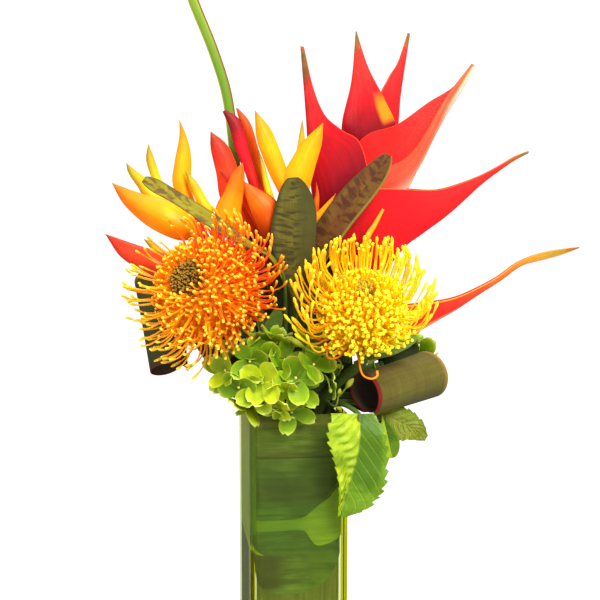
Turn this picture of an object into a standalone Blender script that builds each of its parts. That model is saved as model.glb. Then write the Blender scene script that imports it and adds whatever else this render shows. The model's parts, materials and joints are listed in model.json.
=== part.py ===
"""Tropical flower arrangement in a square glass vase lined with leaves.

Two pincushion flowers, a large red heliconia, five small parrot heliconias, two green
hydrangea heads, banded and rolled leaves, and a bare green stalk stand in filled water.
Lengths in this file are millimetres. The vase stands square to the axes with its base at
z = 0 on the origin. The flowers are laid out in a bouquet frame that is turned about the
vase's axis by TURN_DEG: x to the right, y to the back, z up.
"""

import math

import bpy
import numpy as np
from mathutils.bvhtree import BVHTree

# Driving dimensions.
MM = 0.001
TURN_DEG = -9.0
VASE_SIDE = 90.0
VASE_HEIGHT = 230.0
VASE_WALL = 5.0
VASE_BASE = 14.0
OUTER_CORNER = 4.0
INNER_CORNER = 7.0
LEAF_SHEET = 0.6
GAP = 0.3
LAYER_STEP = LEAF_SHEET + GAP
WATER_TOP = 186.0
HOLE_GAP = 0.4
STEM_FOOT = VASE_BASE + 0.3
NECK = 226.0
LINING_TOP = 226.0
STYLE_RADIUS = 0.85
KNOB_RADIUS = 1.9
STYLE_BACK_LIMIT = -13.0
PETAL_REACH = 18.5
PETAL_THICK = 0.9
CLEAR = 0.45

# Where each stem stands in the water, as bouquet x, y and radius.
SLOTS = {
    "heliconia_red_stem": (12, 14, 7.0),
    "pincushion_orange_stem": (-24, -10, 4.5),
    "pincushion_yellow_stem": (22, -18, 4.5),
    "parrot_left_stem": (-20, 8, 3.2),
    "parrot_low_left_stem": (-29, -1, 3.0),
    "parrot_centre_left_stem": (-6, 21, 3.2),
    "parrot_centre_stem": (-8, 8, 3.2),
    "parrot_right_stem": (6, -2, 3.0),
    "parrot_bud": (16, 1, 2.2),
    "green_stalk": (-18, 23, 4.8),
    "hydrangea_front_stem": (-10, -25, 4.0),
    "hydrangea_back_stem": (27, 9, 4.0),
    "banded_leaf_centre": (2, -18, 2.4),
    "banded_leaf_right": (12, -12, 2.4),
    "banded_leaf_left": (-11, -11, 2.4),
    "backing_leaf": (4, 32, 2.4),
    "rolled_leaf_right": (25, -4, 2.8),
    "rolled_leaf_left": (-29, 10, 2.8),
    "hydrangea_leaf_front": (32, -19, 2.2),
    "hydrangea_leaf_side": (33, -9, 2.2),
}

# Base colour, roughness and metallic of each finish.
FINISHES = {
    "clear_glass": ((0.90, 0.95, 0.90), 0.05, 0.0),
    "still_water": ((0.75, 0.85, 0.75), 0.05, 0.0),
    "lining_green": ((0.10, 0.20, 0.04), 0.45, 0.0),
    "lining_olive": ((0.30, 0.36, 0.06), 0.50, 0.0),
    "lining_bright": ((0.22, 0.40, 0.04), 0.45, 0.0),
    "style_orange": ((0.90, 0.26, 0.02), 0.45, 0.0),
    "style_yellow": ((0.95, 0.58, 0.03), 0.45, 0.0),
    "bract_red": ((0.80, 0.03, 0.04), 0.40, 0.0),
    "bract_orange": ((0.95, 0.30, 0.02), 0.40, 0.0),
    "bract_scarlet": ((0.85, 0.10, 0.03), 0.40, 0.0),
    "bract_gold": ((0.95, 0.45, 0.02), 0.40, 0.0),
    "stem_green": ((0.16, 0.28, 0.06), 0.50, 0.0),
    "stalk_green": ((0.26, 0.38, 0.10), 0.45, 0.0),
    "banded_green": ((0.12, 0.18, 0.07), 0.55, 0.0),
    "backing_green": ((0.06, 0.13, 0.03), 0.50, 0.0),
    "rolled_brown": ((0.16, 0.12, 0.05), 0.40, 0.0),
    "floret_lime": ((0.42, 0.62, 0.05), 0.55, 0.0),
    "leaf_lime": ((0.30, 0.50, 0.05), 0.50, 0.0),
}

OBSTACLES = []


def clear_scene():
    for obj in list(bpy.data.objects):
        bpy.data.objects.remove(obj)


def finish(name):
    made = bpy.data.materials.get(name)
    if made:
        return made
    colour, roughness, metallic = FINISHES[name]
    made = bpy.data.materials.new(name)
    made.use_nodes = True
    shader = made.node_tree.nodes["Principled BSDF"]
    shader.inputs["Base Color"].default_value = (*colour, 1.0)
    shader.inputs["Roughness"].default_value = roughness
    shader.inputs["Metallic"].default_value = metallic
    made.diffuse_color = (*colour, 1.0)
    return made


def turned(points):
    """Bouquet frame to the vase's frame."""
    angle = math.radians(TURN_DEG)
    cos, sin = math.cos(angle), math.sin(angle)
    points = np.asarray(points, float)
    x = points[:, 0] * cos - points[:, 1] * sin
    y = points[:, 0] * sin + points[:, 1] * cos
    return np.stack([x, y, points[:, 2]], 1)


def unit(vector):
    vector = np.asarray(vector, float)
    return vector / np.linalg.norm(vector)


def curve(points, count):
    """A smooth curve through the points, as evenly spaced samples."""
    points = np.array(points, float)
    ends = [2 * points[0] - points[1]], [2 * points[-1] - points[-2]]
    padded = np.vstack([ends[0], points, ends[1]])
    fine = []
    for a, b, c, d in zip(padded, padded[1:], padded[2:], padded[3:]):
        for t in np.arange(16) / 16:
            square = (2 * a - 5 * b + 4 * c - d) * t * t
            cube = (-a + 3 * b - 3 * c + d) * t**3
            fine.append(0.5 * (2 * b + (c - a) * t + square + cube))
    fine = np.array(fine + [points[-1]])
    steps = np.linalg.norm(np.diff(fine, axis=0), axis=1)
    along = np.concatenate([[0], np.cumsum(steps)])
    at = np.linspace(0, along[-1], count)
    return np.stack([np.interp(at, along, column) for column in fine.T], 1)


def tangents(path):
    change = np.gradient(path, axis=0)
    return change / np.linalg.norm(change, axis=1)[:, None]


def outward(points, tris):
    """The same triangles, all facing out."""
    corners = points[tris]
    if np.linalg.det(corners).sum() < 0:
        tris = tris[:, ::-1]
    return points, tris


def skin(rings, strip):
    """Closed mesh over a row of equal rings. A strip ring is an outer row, then the inner row back."""
    rings = np.asarray(rings, float)
    count, size = rings.shape[:2]
    half = size // 2 if strip else size
    points = rings.reshape(-1, 3)
    tris = []
    for i in range(count - 1):
        for j in range(size):
            k = (j + 1) % size
            a, b, c, d = i * size + j, i * size + k, (i + 1) * size + k, (i + 1) * size + j
            if j < half:
                tris += [(a, b, c), (a, c, d)]
            else:
                tris += [(a, b, d), (b, c, d)]
    last = (count - 1) * size
    if strip:
        for j in range(half - 1):
            a, b, c, d = j, j + 1, size - 2 - j, size - 1 - j
            tris += [(a, c, b), (a, d, c)]
            tris += [(last + a, last + b, last + c), (last + a, last + c, last + d)]
    else:
        for j in range(1, size - 1):
            tris += [(0, j + 1, j), (last, last + j, last + j + 1)]
    return outward(points, np.array(tris))


def tube(path, radii, sides, start=0.0):
    """Round solid along a path. The ring turns as little as it can from one sample to the next."""
    path = np.asarray(path, float)
    radii = np.broadcast_to(radii, len(path))
    ways = tangents(path)
    side = np.cross(ways[0], (0.31, 0.95, 0.05))
    rings = []
    for place, way, radius in zip(path, ways, radii):
        side = unit(side - np.dot(side, way) * way)
        other = np.cross(way, side)
        turns = start + np.arange(sides) * 2 * math.pi / sides
        around = np.outer(np.cos(turns), side) + np.outer(np.sin(turns), other)
        rings.append(place + radius * around)
    return skin(rings, False)


def sheet(grid, thick):
    """Closed leaf of even thickness over a grid of points."""
    grid = np.asarray(grid, float)
    normal = np.cross(np.gradient(grid, axis=0), np.gradient(grid, axis=1))
    normal /= np.linalg.norm(normal, axis=2)[:, :, None]
    upper = grid + normal * thick / 2
    lower = grid - normal * thick / 2
    return skin(np.concatenate([upper, lower[:, ::-1]], 1), True)


def boat(keel, near, far, wall, flanks_round=True):
    """Hollow bract between a keel line and two free margins, closing to a point at the tip."""
    keel, near, far = (np.array(line, float) for line in (keel, near, far))
    lift = unit(near[-2] + far[-2] - 2 * keel[-2])
    across = unit(near[-2] - far[-2])
    tip = (keel[-1] + near[-1] + far[-1]) / 3
    keel[-1] = tip - 0.7 * lift
    near[-1] = tip + 0.6 * across + 0.3 * lift
    far[-1] = tip - 0.6 * across + 0.3 * lift
    rings = []
    for k, n, f in zip(keel, near, far):
        middle = 0.5 * (n + f)
        inside = 0.72 * middle + 0.28 * k
        outer = [n, k, f]
        if flanks_round:
            for place, margin in ((1, n), (3, f)):
                swell = unit(0.5 * (k + margin) - inside) * np.linalg.norm(k - margin)
                outer.insert(place, 0.5 * (k + margin) + swell * 0.13)
        outer = np.array(outer)
        reach = np.linalg.norm(inside - outer, axis=1)[:, None]
        inner = outer + (inside - outer) * np.minimum(wall / np.maximum(reach, 1e-6), 0.42)
        rings.append(np.concatenate([outer, inner[::-1]]))
    return skin(rings, True)


def ball(centre, radii, rings, sides, bump=0.0, tilt=None):
    """Ellipsoid with an optional ripple, its pole along tilt."""
    up = unit(tilt if tilt is not None else (0, 0, 1))
    side = unit(np.cross(up, (0.2, 0.9, 0.13)))
    basis = np.array([side, np.cross(up, side), up])
    points = [np.array([0, 0, -1.0])]
    for i in range(1, rings):
        polar = math.pi * i / rings
        for j in range(sides):
            turn = 2 * math.pi * (j + 0.5 * (i % 2)) / sides
            swell = 1 + bump * math.cos(3 * turn + 2 * i)
            flat = math.sin(polar) * swell
            points.append(np.array([flat * math.cos(turn), flat * math.sin(turn), -swell * math.cos(polar)]))
    points.append(np.array([0, 0, 1.0]))
    tris = []
    top = len(points) - 1
    for j in range(sides):
        k = (j + 1) % sides
        tris.append((0, 1 + k, 1 + j))
        tris.append((top, top - sides + j, top - sides + k))
    for i in range(rings - 2):
        for j in range(sides):
            k = (j + 1) % sides
            a, b = 1 + i * sides + j, 1 + i * sides + k
            c, d = 1 + (i + 1) * sides + k, 1 + (i + 1) * sides + j
            if i % 2:
                tris += [(a, b, c), (a, c, d)]
            else:
                tris += [(a, b, d), (b, c, d)]
    points = (np.array(points) * np.asarray(radii)) @ basis + np.asarray(centre, float)
    return outward(points, np.array(tris))


def mesh_object(name, shape, turn=True):
    points, tris = shape
    points = (turned(points) if turn else np.asarray(points)) * MM
    mesh = bpy.data.meshes.new(name)
    mesh.from_pydata(points.tolist(), [], np.asarray(tris).tolist())
    mesh.validate()
    obj = bpy.data.objects.new(name, mesh)
    bpy.context.scene.collection.objects.link(obj)
    return obj


def joined(obj, shapes, operation, turn=True):
    """Applies one Boolean of the object with all the shapes."""
    helpers = bpy.data.collections.new("helpers")
    bpy.context.scene.collection.children.link(helpers)
    for number, shape in enumerate(shapes):
        helper = mesh_object(f"helper_{number}", shape, turn)
        bpy.context.scene.collection.objects.unlink(helper)
        helpers.objects.link(helper)
    modifier = obj.modifiers.new("join", "BOOLEAN")
    modifier.operation = operation
    modifier.operand_type = "COLLECTION"
    modifier.collection = helpers
    modifier.solver = "MANIFOLD"
    graph = bpy.context.evaluated_depsgraph_get()
    mesh = bpy.data.meshes.new_from_object(obj.evaluated_get(graph))
    obj.modifiers.clear()
    obj.data = mesh
    for helper in list(helpers.objects):
        bpy.data.objects.remove(helper)
    bpy.data.collections.remove(helpers)


def fused(name, shapes, material, turn=True):
    """One node: the shapes joined into a single body, with its finish."""
    obj = mesh_object(name, shapes[0], turn)
    if len(shapes) > 1:
        joined(obj, shapes[1:], "UNION", turn)
    obj.data.name = name
    obj.data.materials.clear()
    obj.data.materials.append(finish(material))
    OBSTACLES.append(tree_of_object(obj))
    return obj


def tree_of_object(obj):
    mesh = obj.data
    mesh.calc_loop_triangles()
    points = [vertex.co / MM for vertex in mesh.vertices]
    return BVHTree.FromPolygons(points, [tuple(t.vertices) for t in mesh.loop_triangles])


def is_clear(shape, gap, others):
    """True where no corner of the shape comes within the gap of the other nodes, and no faces cross."""
    points = turned(shape[0])
    own = BVHTree.FromPolygons(points.tolist(), np.asarray(shape[1]).tolist())
    for other in others:
        if own.overlap(other):
            return False
        for point in points.tolist():
            if other.find_nearest(point, gap)[0] is not None:
                return False
    return True


# The vase, its lining leaves and the water.
def square_loop(half, corner, z, steps=4):
    """Rounded square at a height, counter-clockwise from the front right corner."""
    points = []
    for quarter in range(4):
        start = -math.pi / 2 + quarter * math.pi / 2
        cx = (half - corner) * (1 if quarter in (0, 1) else -1)
        cy = (half - corner) * (1 if quarter in (1, 2) else -1)
        for step in range(steps + 1):
            turn = start + step * math.pi / 2 / steps
            points.append((cx + corner * math.cos(turn), cy + corner * math.sin(turn), z))
    return points


def glass_vase():
    half = VASE_SIDE / 2
    inner = half - VASE_WALL
    loops = [
        square_loop(half - 1.2, OUTER_CORNER, 0),
        square_loop(half, OUTER_CORNER, 1.2),
        square_loop(half, OUTER_CORNER, VASE_HEIGHT - 0.8),
        square_loop(half - 0.8, OUTER_CORNER, VASE_HEIGHT),
        square_loop(inner + 0.8, INNER_CORNER, VASE_HEIGHT),
        square_loop(inner, INNER_CORNER, VASE_HEIGHT - 0.8),
        square_loop(inner, INNER_CORNER, VASE_BASE),
    ]
    fused("glass_vase", [skin(loops, False)], "clear_glass", turn=False)


def wall_point(s, inset):
    """Point of the vase's inner wall at s along it from the middle of the front, to the right."""
    flat = VASE_SIDE / 2 - VASE_WALL - INNER_CORNER
    arc = INNER_CORNER * math.pi / 2
    side = 2 * flat + arc
    quarter = math.floor((s + flat + arc / 2) / side)
    s = s - quarter * side
    radius = INNER_CORNER - inset
    if abs(s) <= flat:
        x, y = s, -(flat + radius)
    else:
        turn = (abs(s) - flat) / INNER_CORNER
        x = math.copysign(flat + radius * math.sin(turn), s)
        y = -(flat + radius * math.cos(turn))
    angle = quarter * math.pi / 2
    return (x * math.cos(angle) - y * math.sin(angle), x * math.sin(angle) + y * math.cos(angle))


def lining(name, layer, outline, material, rows=3):
    """Leaf pressed against the glass. The outline lists s, lowest z and highest z."""
    outline = np.array(outline, float)
    flat = VASE_SIDE / 2 - VASE_WALL - INNER_CORNER
    arc = INNER_CORNER * math.pi / 2
    side = 2 * flat + arc
    stops = [s for s in outline[:, 0] if abs((s + side / 2) % side - side / 2) < flat - 0.5]
    for quarter in range(-3, 4):
        for step in range(5):
            s = quarter * side + flat + arc * step / 4
            if outline[0, 0] < s < outline[-1, 0]:
                stops.append(s)
    stops = sorted(stops)
    low = np.interp(stops, outline[:, 0], outline[:, 1])
    high = np.interp(stops, outline[:, 0], outline[:, 2])
    inset = GAP + LAYER_STEP * layer
    rings = []
    for s, bottom, top in zip(stops, low, high):
        levels = np.linspace(bottom, top, rows)
        outer = [(*wall_point(s, inset), z) for z in levels]
        inner = [(*wall_point(s, inset + LEAF_SHEET), z) for z in levels]
        rings.append(outer + inner[::-1])
    fused(name, [skin(rings, True)], material, turn=False)


def lining_leaves():
    foot = VASE_BASE + GAP
    full = [(-148, foot, LINING_TOP - 2), (0, foot, LINING_TOP - 4), (148, foot, LINING_TOP - 2)]
    lining("lining_leaf_full", 3, full, "lining_olive", rows=2)
    lower = [(-32, 92, 150), (-27, 82, 150), (-20, 72, 150), (-9, 62, 150), (3, 61, 150)]
    lower += [(14, 67, 150), (25, 80, 150), (32, 94, 150), (48, 118, 150)]
    lining("lining_leaf_lower", 2, lower, "lining_green", rows=2)
    upper = [(-32, 136, LINING_TOP), (3, 139, LINING_TOP), (22, 151, LINING_TOP), (31, 162, LINING_TOP)]
    upper += [(46, 178, LINING_TOP), (70, 200, LINING_TOP)]
    lining("lining_leaf_upper", 1, upper, "lining_green", rows=2)
    tip = [(-3, 129, 132), (6, 121, 141), (16, 113, 147), (26, 109, 154), (32, 111, 160), (60, 128, 172)]
    tip += [(86, 146, 170), (98, 156, 162)]
    lining("lining_leaf_tip", 0, tip, "lining_bright", rows=2)


def water():
    half = VASE_SIDE / 2 - VASE_WALL - 4 * LAYER_STEP - GAP
    corner = INNER_CORNER - 4 * LAYER_STEP - GAP
    block = skin([square_loop(half, corner, VASE_BASE + GAP), square_loop(half, corner, WATER_TOP)], False)
    holes = []
    for x, y, radius in SLOTS.values():
        path = [(x, y, VASE_BASE - 5), (x, y, WATER_TOP + 5)]
        points, tris = tube(path, radius + HOLE_GAP, 6)
        holes.append((turned(points), tris))
    obj = mesh_object("water", block, turn=False)
    joined(obj, holes, "DIFFERENCE", turn=False)
    obj.data.materials.clear()
    obj.data.materials.append(finish("still_water"))
    OBSTACLES.append(tree_of_object(obj))


# Stems and leaves.
def stem_path(name, above, count):
    """From the foot in the water, straight up to the neck, then through the points above."""
    x, y, _ = SLOTS[name]
    rise = curve([(x, y, NECK - 26), (x, y, NECK)] + above, count)
    return np.vstack([[(x, y, STEM_FOOT)], rise])


def stem(name, above, joint, way, top_radius, count=7, extra=()):
    """Stem up to just under a joint, where a head's flat end sits on it facing way."""
    joint, way = np.array(joint, float), unit(way)
    path = stem_path(name, above + [(joint - 14 * way).tolist()], count)
    path = np.vstack([path, [joint - GAP * way]])
    radii = np.full(len(path), SLOTS[name][2])
    radii[2:] = np.linspace(SLOTS[name][2], top_radius, len(path) - 2)
    fused(name, [tube(path, radii, 6)] + list(extra), "stem_green")


def blade(middle, width, facing, stops=(0, 0.16, 0.34, 0.52, 0.68, 0.82, 0.93, 1), thick=1.0, fold=0.12):
    """Leaf blade along a midline, widest past the middle, its tip rounded, folded a little along it."""
    line = curve(middle, 61)
    ways = tangents(line)
    grid = []
    for t in stops:
        place, way = line[round(60 * t)], ways[round(60 * t)]
        rise = min(t / 0.6, 1.0)
        full = 0.16 + 0.84 * rise * rise * (3 - 2 * rise)
        if t > 0.6:
            full = math.sqrt(max(1 - ((t - 0.6) / 0.41) ** 2, 0.05))
        half = 0.5 * width * full
        side = unit(np.cross(way, facing))
        face = unit(np.cross(side, way))
        grid.append([place + side * half * c + face * half * fold * abs(c) for c in (-1, -0.5, 0, 0.5, 1)])
    return sheet(grid, thick)


def leaflet(middle, width, facing):
    """Short leaf on a flower's stem."""
    return blade(middle, width, facing, stops=(0, 0.3, 0.6, 0.85, 1), fold=0.2)


def stalked_leaf(name, above, middle, width, facing, material="banded_green", **options):
    """Blade on its own stalk from the water."""
    path = stem_path(name, above + [middle[0], curve(middle, 9)[1]], 7)
    radii = np.full(len(path), SLOTS[name][2])
    radii[3:] = np.linspace(SLOTS[name][2], 1.3, len(path) - 3)
    fused(name, [tube(path, radii, 6), blade(middle, width, facing, **options)], material)


def rolled_leaf(name, above, near_end, far_end, radius, open_up, turns, flare=1.0):
    """Broad blade looped into a scroll from one end to the other, on its own stalk."""
    near_end, far_end = np.array(near_end, float), np.array(far_end, float)
    axis = unit(far_end - near_end)
    down = unit(-np.array(open_up) + np.dot(open_up, axis) * axis)
    side = np.cross(axis, down)
    columns = 5
    steps = 15
    grid = []
    for i in range(steps):
        t = i / (steps - 1)
        angle = -turns * 2 * math.pi * t
        around = down * math.cos(angle) + side * math.sin(angle)
        taper = 1 - 0.30 * t**2
        row = []
        for j in range(columns):
            c = 2 * j / (columns - 1) - 1
            place = near_end + (far_end - near_end) * (0.5 + 0.5 * c * taper)
            swell = radius * (1 + (flare - 1) * (j / (columns - 1))) - 2.6 * t
            row.append(place + around * swell)
        grid.append(row)
    middle = 0.5 * (near_end + far_end) + down * radius * (0.5 + 0.5 * flare)
    path = stem_path(name, above + [middle + side * 22 + down * 0.5, middle - side * 2], 8)
    radii = np.full(len(path), SLOTS[name][2])
    radii[4:] = np.linspace(SLOTS[name][2], 1.6, len(path) - 4)
    fused(name, [sheet(grid, 0.9), tube(path, radii, 6)], "rolled_brown")


def leaves():
    middle = [(4, -20, 318), (4, -21, 347), (1, -20, 388), (3, -19, 414), (1, -19, 444)]
    stalked_leaf("banded_leaf_centre", [(2, -18, 250), (3, -17, 290)], middle, 41, (0, -1, 0.1))
    middle = [(19, -12, 345), (28, -11, 381), (40, -13, 402), (57, -15, 424), (75, -15, 445)]
    middle += [(88, -14, 464)]
    above = [(13, -12, 255), (16, -12, 300)]
    stalked_leaf("banded_leaf_right", above, middle, 29, (-0.45, -1, 0.2), fold=0.2)
    middle = [(-7, -40, 352), (-19, -52, 375), (-41, -60, 388), (-68, -62, 406), (-99, -60, 426)]
    middle += [(-131, -56, 444)]
    above = [(-9, -14, 250), (-6, -26, 300)]
    stalked_leaf("banded_leaf_left", above, middle, 17, (-0.3, -0.8, 0.8), fold=0.15)
    middle = [(4, 33, 242), (2, 42, 272), (3, 46, 310), (8, 47, 366)]
    stalked_leaf("backing_leaf", [], middle, 92, (0, -1, 0.1), material="backing_green")


def rolled_leaves():
    above = [(33, -3, 238), (52, 2, 240)]
    ends = (66, -31, 247), (136, 36, 257)
    rolled_leaf("rolled_leaf_right", above, *ends, 20.5, (0, 0, 1), 1.12, flare=1.1)
    above = [(-34, 12, 245), (-52, 18, 272)]
    ends = (-111, -4, 268), (-130, 28, 350)
    rolled_leaf("rolled_leaf_left", above, *ends, 19.5, (-1, -0.1, 0), 1.1, flare=1.1)


def hydrangea_leaf(name, above, middle, widths, facing):
    """Broad toothed leaf hanging over the rim on its own stalk."""
    stations = 2 * len(widths) - 1
    line = curve(middle, stations)
    reach = np.interp(np.arange(stations), np.arange(len(widths)) * 2, widths)
    grid = []
    for i, (place, way) in enumerate(zip(line, tangents(line))):
        side = unit(np.cross(way, facing))
        face = unit(np.cross(side, way))
        tooth = reach[i] * (1.0 if i % 2 else 0.88)
        ripple = 2.0 * math.sin(i * 1.7)
        row = [place + side * tooth * c + face * (2.5 * abs(c) + ripple * c) for c in (-1, -0.5, 0, 0.5, 1)]
        grid.append(row)
    path = stem_path(name, above + [middle[0], line[1]], 8)
    fused(name, [sheet(grid, 1.0), tube(path, SLOTS[name][2], 6)], "leaf_lime")


def hydrangea_leaves():
    middle = [(63, -60, 240), (61, -63, 228), (58, -61, 204), (50, -59, 178), (44, -58, 148)]
    widths = [4, 22, 27, 28, 24, 15, 3]
    above = [(38, -28, 238), (52, -47, 246)]
    hydrangea_leaf("hydrangea_leaf_front", above, middle, widths, (0.1, -1, 0.25))
    middle = [(73, -6, 224), (88, -4, 214), (104, -3, 203), (121, -3, 188)]
    widths = [4, 15, 20, 19, 12, 3]
    above = [(42, -10, 236), (60, -5, 234)]
    hydrangea_leaf("hydrangea_leaf_side", above, middle, widths, (-0.2, -1, 0.5))


# Heliconias.
def placed(pairs, y):
    """Points of a side view set at one depth."""
    return [(x, y, z) for x, z in pairs]


def side_bract(keel, mouth, y, gape, stations=8):
    """Red bract seen from its flank: keel and margins in the plane y, the margins apart by gape."""
    keel = curve(placed(keel, y), stations)
    mouth = curve(placed(mouth, y), stations)
    t = np.linspace(0, 1, stations)
    apart = np.zeros((stations, 3))
    apart[:, 1] = gape * (1 - t) ** 0.7 * (0.75 + 0.25 * np.sin(math.pi * t))
    return boat(keel, mouth - apart, mouth + apart, 1.5)


def open_bract(keel, near, far, stations=8):
    lines = (curve(line, stations) for line in (keel, near, far))
    return boat(*lines, 1.5)


def heliconia_red():
    rachis = [(51, 15, 278), (60, 16, 302), (66, 17, 335), (76, 19, 375), (80, 24, 410)]
    rachis = curve(rachis + [(76, 28, 436), (88, 33, 462)], 10)
    radii = [6, 7, 8, 8.5, 8.5, 8.5, 8, 7.5, 7, 4]
    b1_keel = [(58, 345), (28, 388), (17, 435), (13, 500), (9, 562)]
    b1_mouth = [(78, 405), (65, 470), (46, 486), (30, 500), (19, 526), (9, 562)]
    b2_keel = [(76, 418), (56, 452), (46, 486), (55, 531), (59, 577)]
    b2_mouth = [(86, 440), (94, 486), (80, 515), (68, 545), (60, 576)]
    b3_keel = [(84, 436), (98, 480), (102, 520), (109, 575)]
    b3_mouth = [(78, 455), (78, 505), (90, 534), (99, 549), (109, 575)]
    b4 = (
        [(80, 22, 396), (108, 20, 432), (137, 20, 489), (158, 20, 526), (167, 20, 546)],
        [(77, 8, 415), (88, 9, 438), (111, 11, 463), (133, 13, 500), (145, 15, 521), (167, 20, 546)],
        [(74, 38, 445), (98, 36, 490), (126, 32, 511), (150, 27, 526), (168, 21, 546)],
    )
    b5_keel = [(70, 332), (95, 363), (137, 402), (171, 433), (198, 452), (218, 466)]
    b5_mouth = [(60, 372), (78, 428), (107, 432), (149, 435), (182, 447), (218, 466)]
    b6_keel = [(70, 292), (100, 287), (137, 309), (189, 342), (222, 359), (252, 366), (266, 375)]
    b6_mouth = [(70, 322), (110, 321), (149, 330), (187, 350), (219, 369), (250, 377), (268, 379)]
    bracts = [
        side_bract(b1_keel, b1_mouth, 26, 15),
        side_bract(b2_keel, b2_mouth, 36, 13),
        side_bract(b3_keel, b3_mouth, 42, 11),
        open_bract(*b4),
        side_bract(b5_keel, b5_mouth, 10, 14),
        side_bract(b6_keel, b6_mouth, 12, 12),
    ]
    fused("heliconia_red_head", [tube(rachis, radii, 8)] + bracts, "bract_red")
    stem("heliconia_red_stem", [(16, 14, 240), (27, 14, 254)], rachis[0], tangents(rachis)[0], 6.0)


def parrot_bract(base, tip, width, depth, facing, bow=0.0, stations=6):
    """Bract of a parrot heliconia, its mouth towards facing and its keel bowed the other way."""
    base, tip = np.array(base, float), np.array(tip, float)
    way = unit(tip - base)
    side = unit(np.cross(way, facing))
    lift = np.cross(side, way)
    keel, near, far = [], [], []
    for i in range(stations):
        t = i / (stations - 1)
        full = 0.45 * (1 - t) + 0.62 * math.sin(math.pi * t**0.8)
        middle = base + (tip - base) * t - lift * bow * math.sin(math.pi * t)
        keel.append(middle - lift * depth * 0.5 * full)
        near.append(middle + lift * depth * 0.5 * full + side * width * 0.5 * full)
        far.append(middle + lift * depth * 0.5 * full - side * width * 0.5 * full)
    return boat(keel, near, far, 1.2, flanks_round=False)


def parrot(name, rachis, radius, bracts, material, above):
    """Head of bracts on a short rachis, and the stem under it."""
    path = curve(rachis, 4)
    shapes = [tube(path, [radius, radius * 1.25, radius * 1.15, radius * 0.6], 6)]
    shapes += [parrot_bract(*bract) for bract in bracts]
    fused(name, shapes, material)
    stem(name + "_stem", above, path[0], tangents(path)[0], radius)


def parrots():
    bracts = [
        ((-82, 2, 386), (-165, -4, 437), 15, 24, (0.5, -0.35, 0.9), 2),
        ((-77, 3, 380), (-42, -10, 459), 14, 23, (-0.9, -0.35, 0.3), 2),
        ((-91, 9, 400), (-103, 12, 496), 13, 17, (-1, -0.5, 0), -1),
        ((-88, 7, 400), (-98, -2, 451), 8, 10, (0.9, -0.6, 0.2), 0),
        ((-92, 10, 402), (-133, 16, 474), 9, 9, (-0.8, -0.5, -0.2), -1),
        ((-89, 8, 399), (-153, 7, 458), 9, 10, (0.4, -0.5, 0.8), 2),
    ]
    rachis = [(-72, 6, 368), (-80, 6, 385), (-88, 8, 400), (-93, 10, 410)]
    above = [(-24, 9, 250), (-38, 10, 290), (-57, 8, 335)]
    parrot("parrot_left", rachis, 3.8, bracts, "bract_orange", above)

    bracts = [
        ((-99, 0, 350), (-172, -2, 391), 12, 20, (0.4, -0.4, 0.9), 2),
        ((-112, 4, 361), (-139, 4, 388), 7, 7, (0.5, -0.5, 0.9), 0),
    ]
    rachis = [(-86, 2, 341), (-95, 2, 349), (-106, 3, 356), (-116, 4, 363)]
    above = [(-33, -1, 246), (-46, 0, 275), (-67, 1, 318)]
    parrot("parrot_low_left", rachis, 3.4, bracts, "bract_scarlet", above)

    bracts = [
        ((-23, 9, 378), (-76, 8, 487), 14, 23, (0.9, -0.4, 0.3), -3),
        ((-21, 14, 398), (-63, 12, 507), 12, 17, (0.9, -0.4, 0.3), -3),
        ((-19, 20, 408), (-49, 21, 507), 12, 17, (0.9, -0.4, 0.3), -3),
    ]
    rachis = [(-24, 14, 362), (-24, 14, 379), (-21, 15, 397), (-18, 17, 414)]
    above = [(-8, 21, 250), (-13, 20, 300), (-20, 16, 340)]
    parrot("parrot_centre_left", rachis, 3.8, bracts, "bract_scarlet", above)

    bracts = [
        ((-8, -2, 405), (-34, -1, 505), 14, 19, (0.9, -0.4, 0.2), -4),
        ((-7, 0, 404), (29, -2, 492), 15, 24, (-0.9, -0.4, 0.3), 2),
        ((-5, 3, 410), (10, 9, 495), 7, 9, (-0.9, -0.4, 0), 0),
        ((-10, 3, 404), (-31, 4, 469), 6, 6, (0.9, -0.4, 0.2), 0),
    ]
    rachis = [(-3, -2, 352), (-5, -2, 376), (-7, -1, 397), (-5, 2, 420)]
    above = [(-8, 7, 250), (-8, 4, 290), (-4, -1, 330)]
    parrot("parrot_centre", rachis, 3.8, bracts, "bract_gold", above)

    bracts = [
        ((22, 3, 378), (40, 3, 424), 9, 13, (-0.9, -0.4, 0.3), 0),
        ((22, 5, 388), (23, 7, 440), 6, 6, (0.9, -0.4, 0), 0),
    ]
    rachis = [(18, 3, 356), (20, 3, 368), (22, 4, 382), (23, 5, 396)]
    above = [(7, -1, 260), (12, 1, 320)]
    parrot("parrot_right", rachis, 3.2, bracts, "bract_gold", above)


def parrot_bud():
    """One tubular flower on its own thin stalk behind the yellow pincushion."""
    above = [(17, 0, 240), (32, -5, 275), (52, -13, 335), (67, -15, 385), (75, -15, 400), (83, -15, 415)]
    path = stem_path("parrot_bud", above, 9)
    radii = [2.2] * 6 + [2.6, 2.8, 2.4, 0.9]
    fused("parrot_bud", [tube(path, radii, 6)], "bract_gold")


def green_stalk():
    above = [(-22, 27, 270), (-36, 32, 340), (-48, 34, 400), (-53, 34, 448), (-60, 34, 513)]
    above += [(-73, 34, 558), (-92, 34, 606), (-99, 34, 632)]
    path = stem_path("green_stalk", above, 13)
    fused("green_stalk", [tube(path, SLOTS["green_stalk"][2], 6)], "stalk_green")


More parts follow.
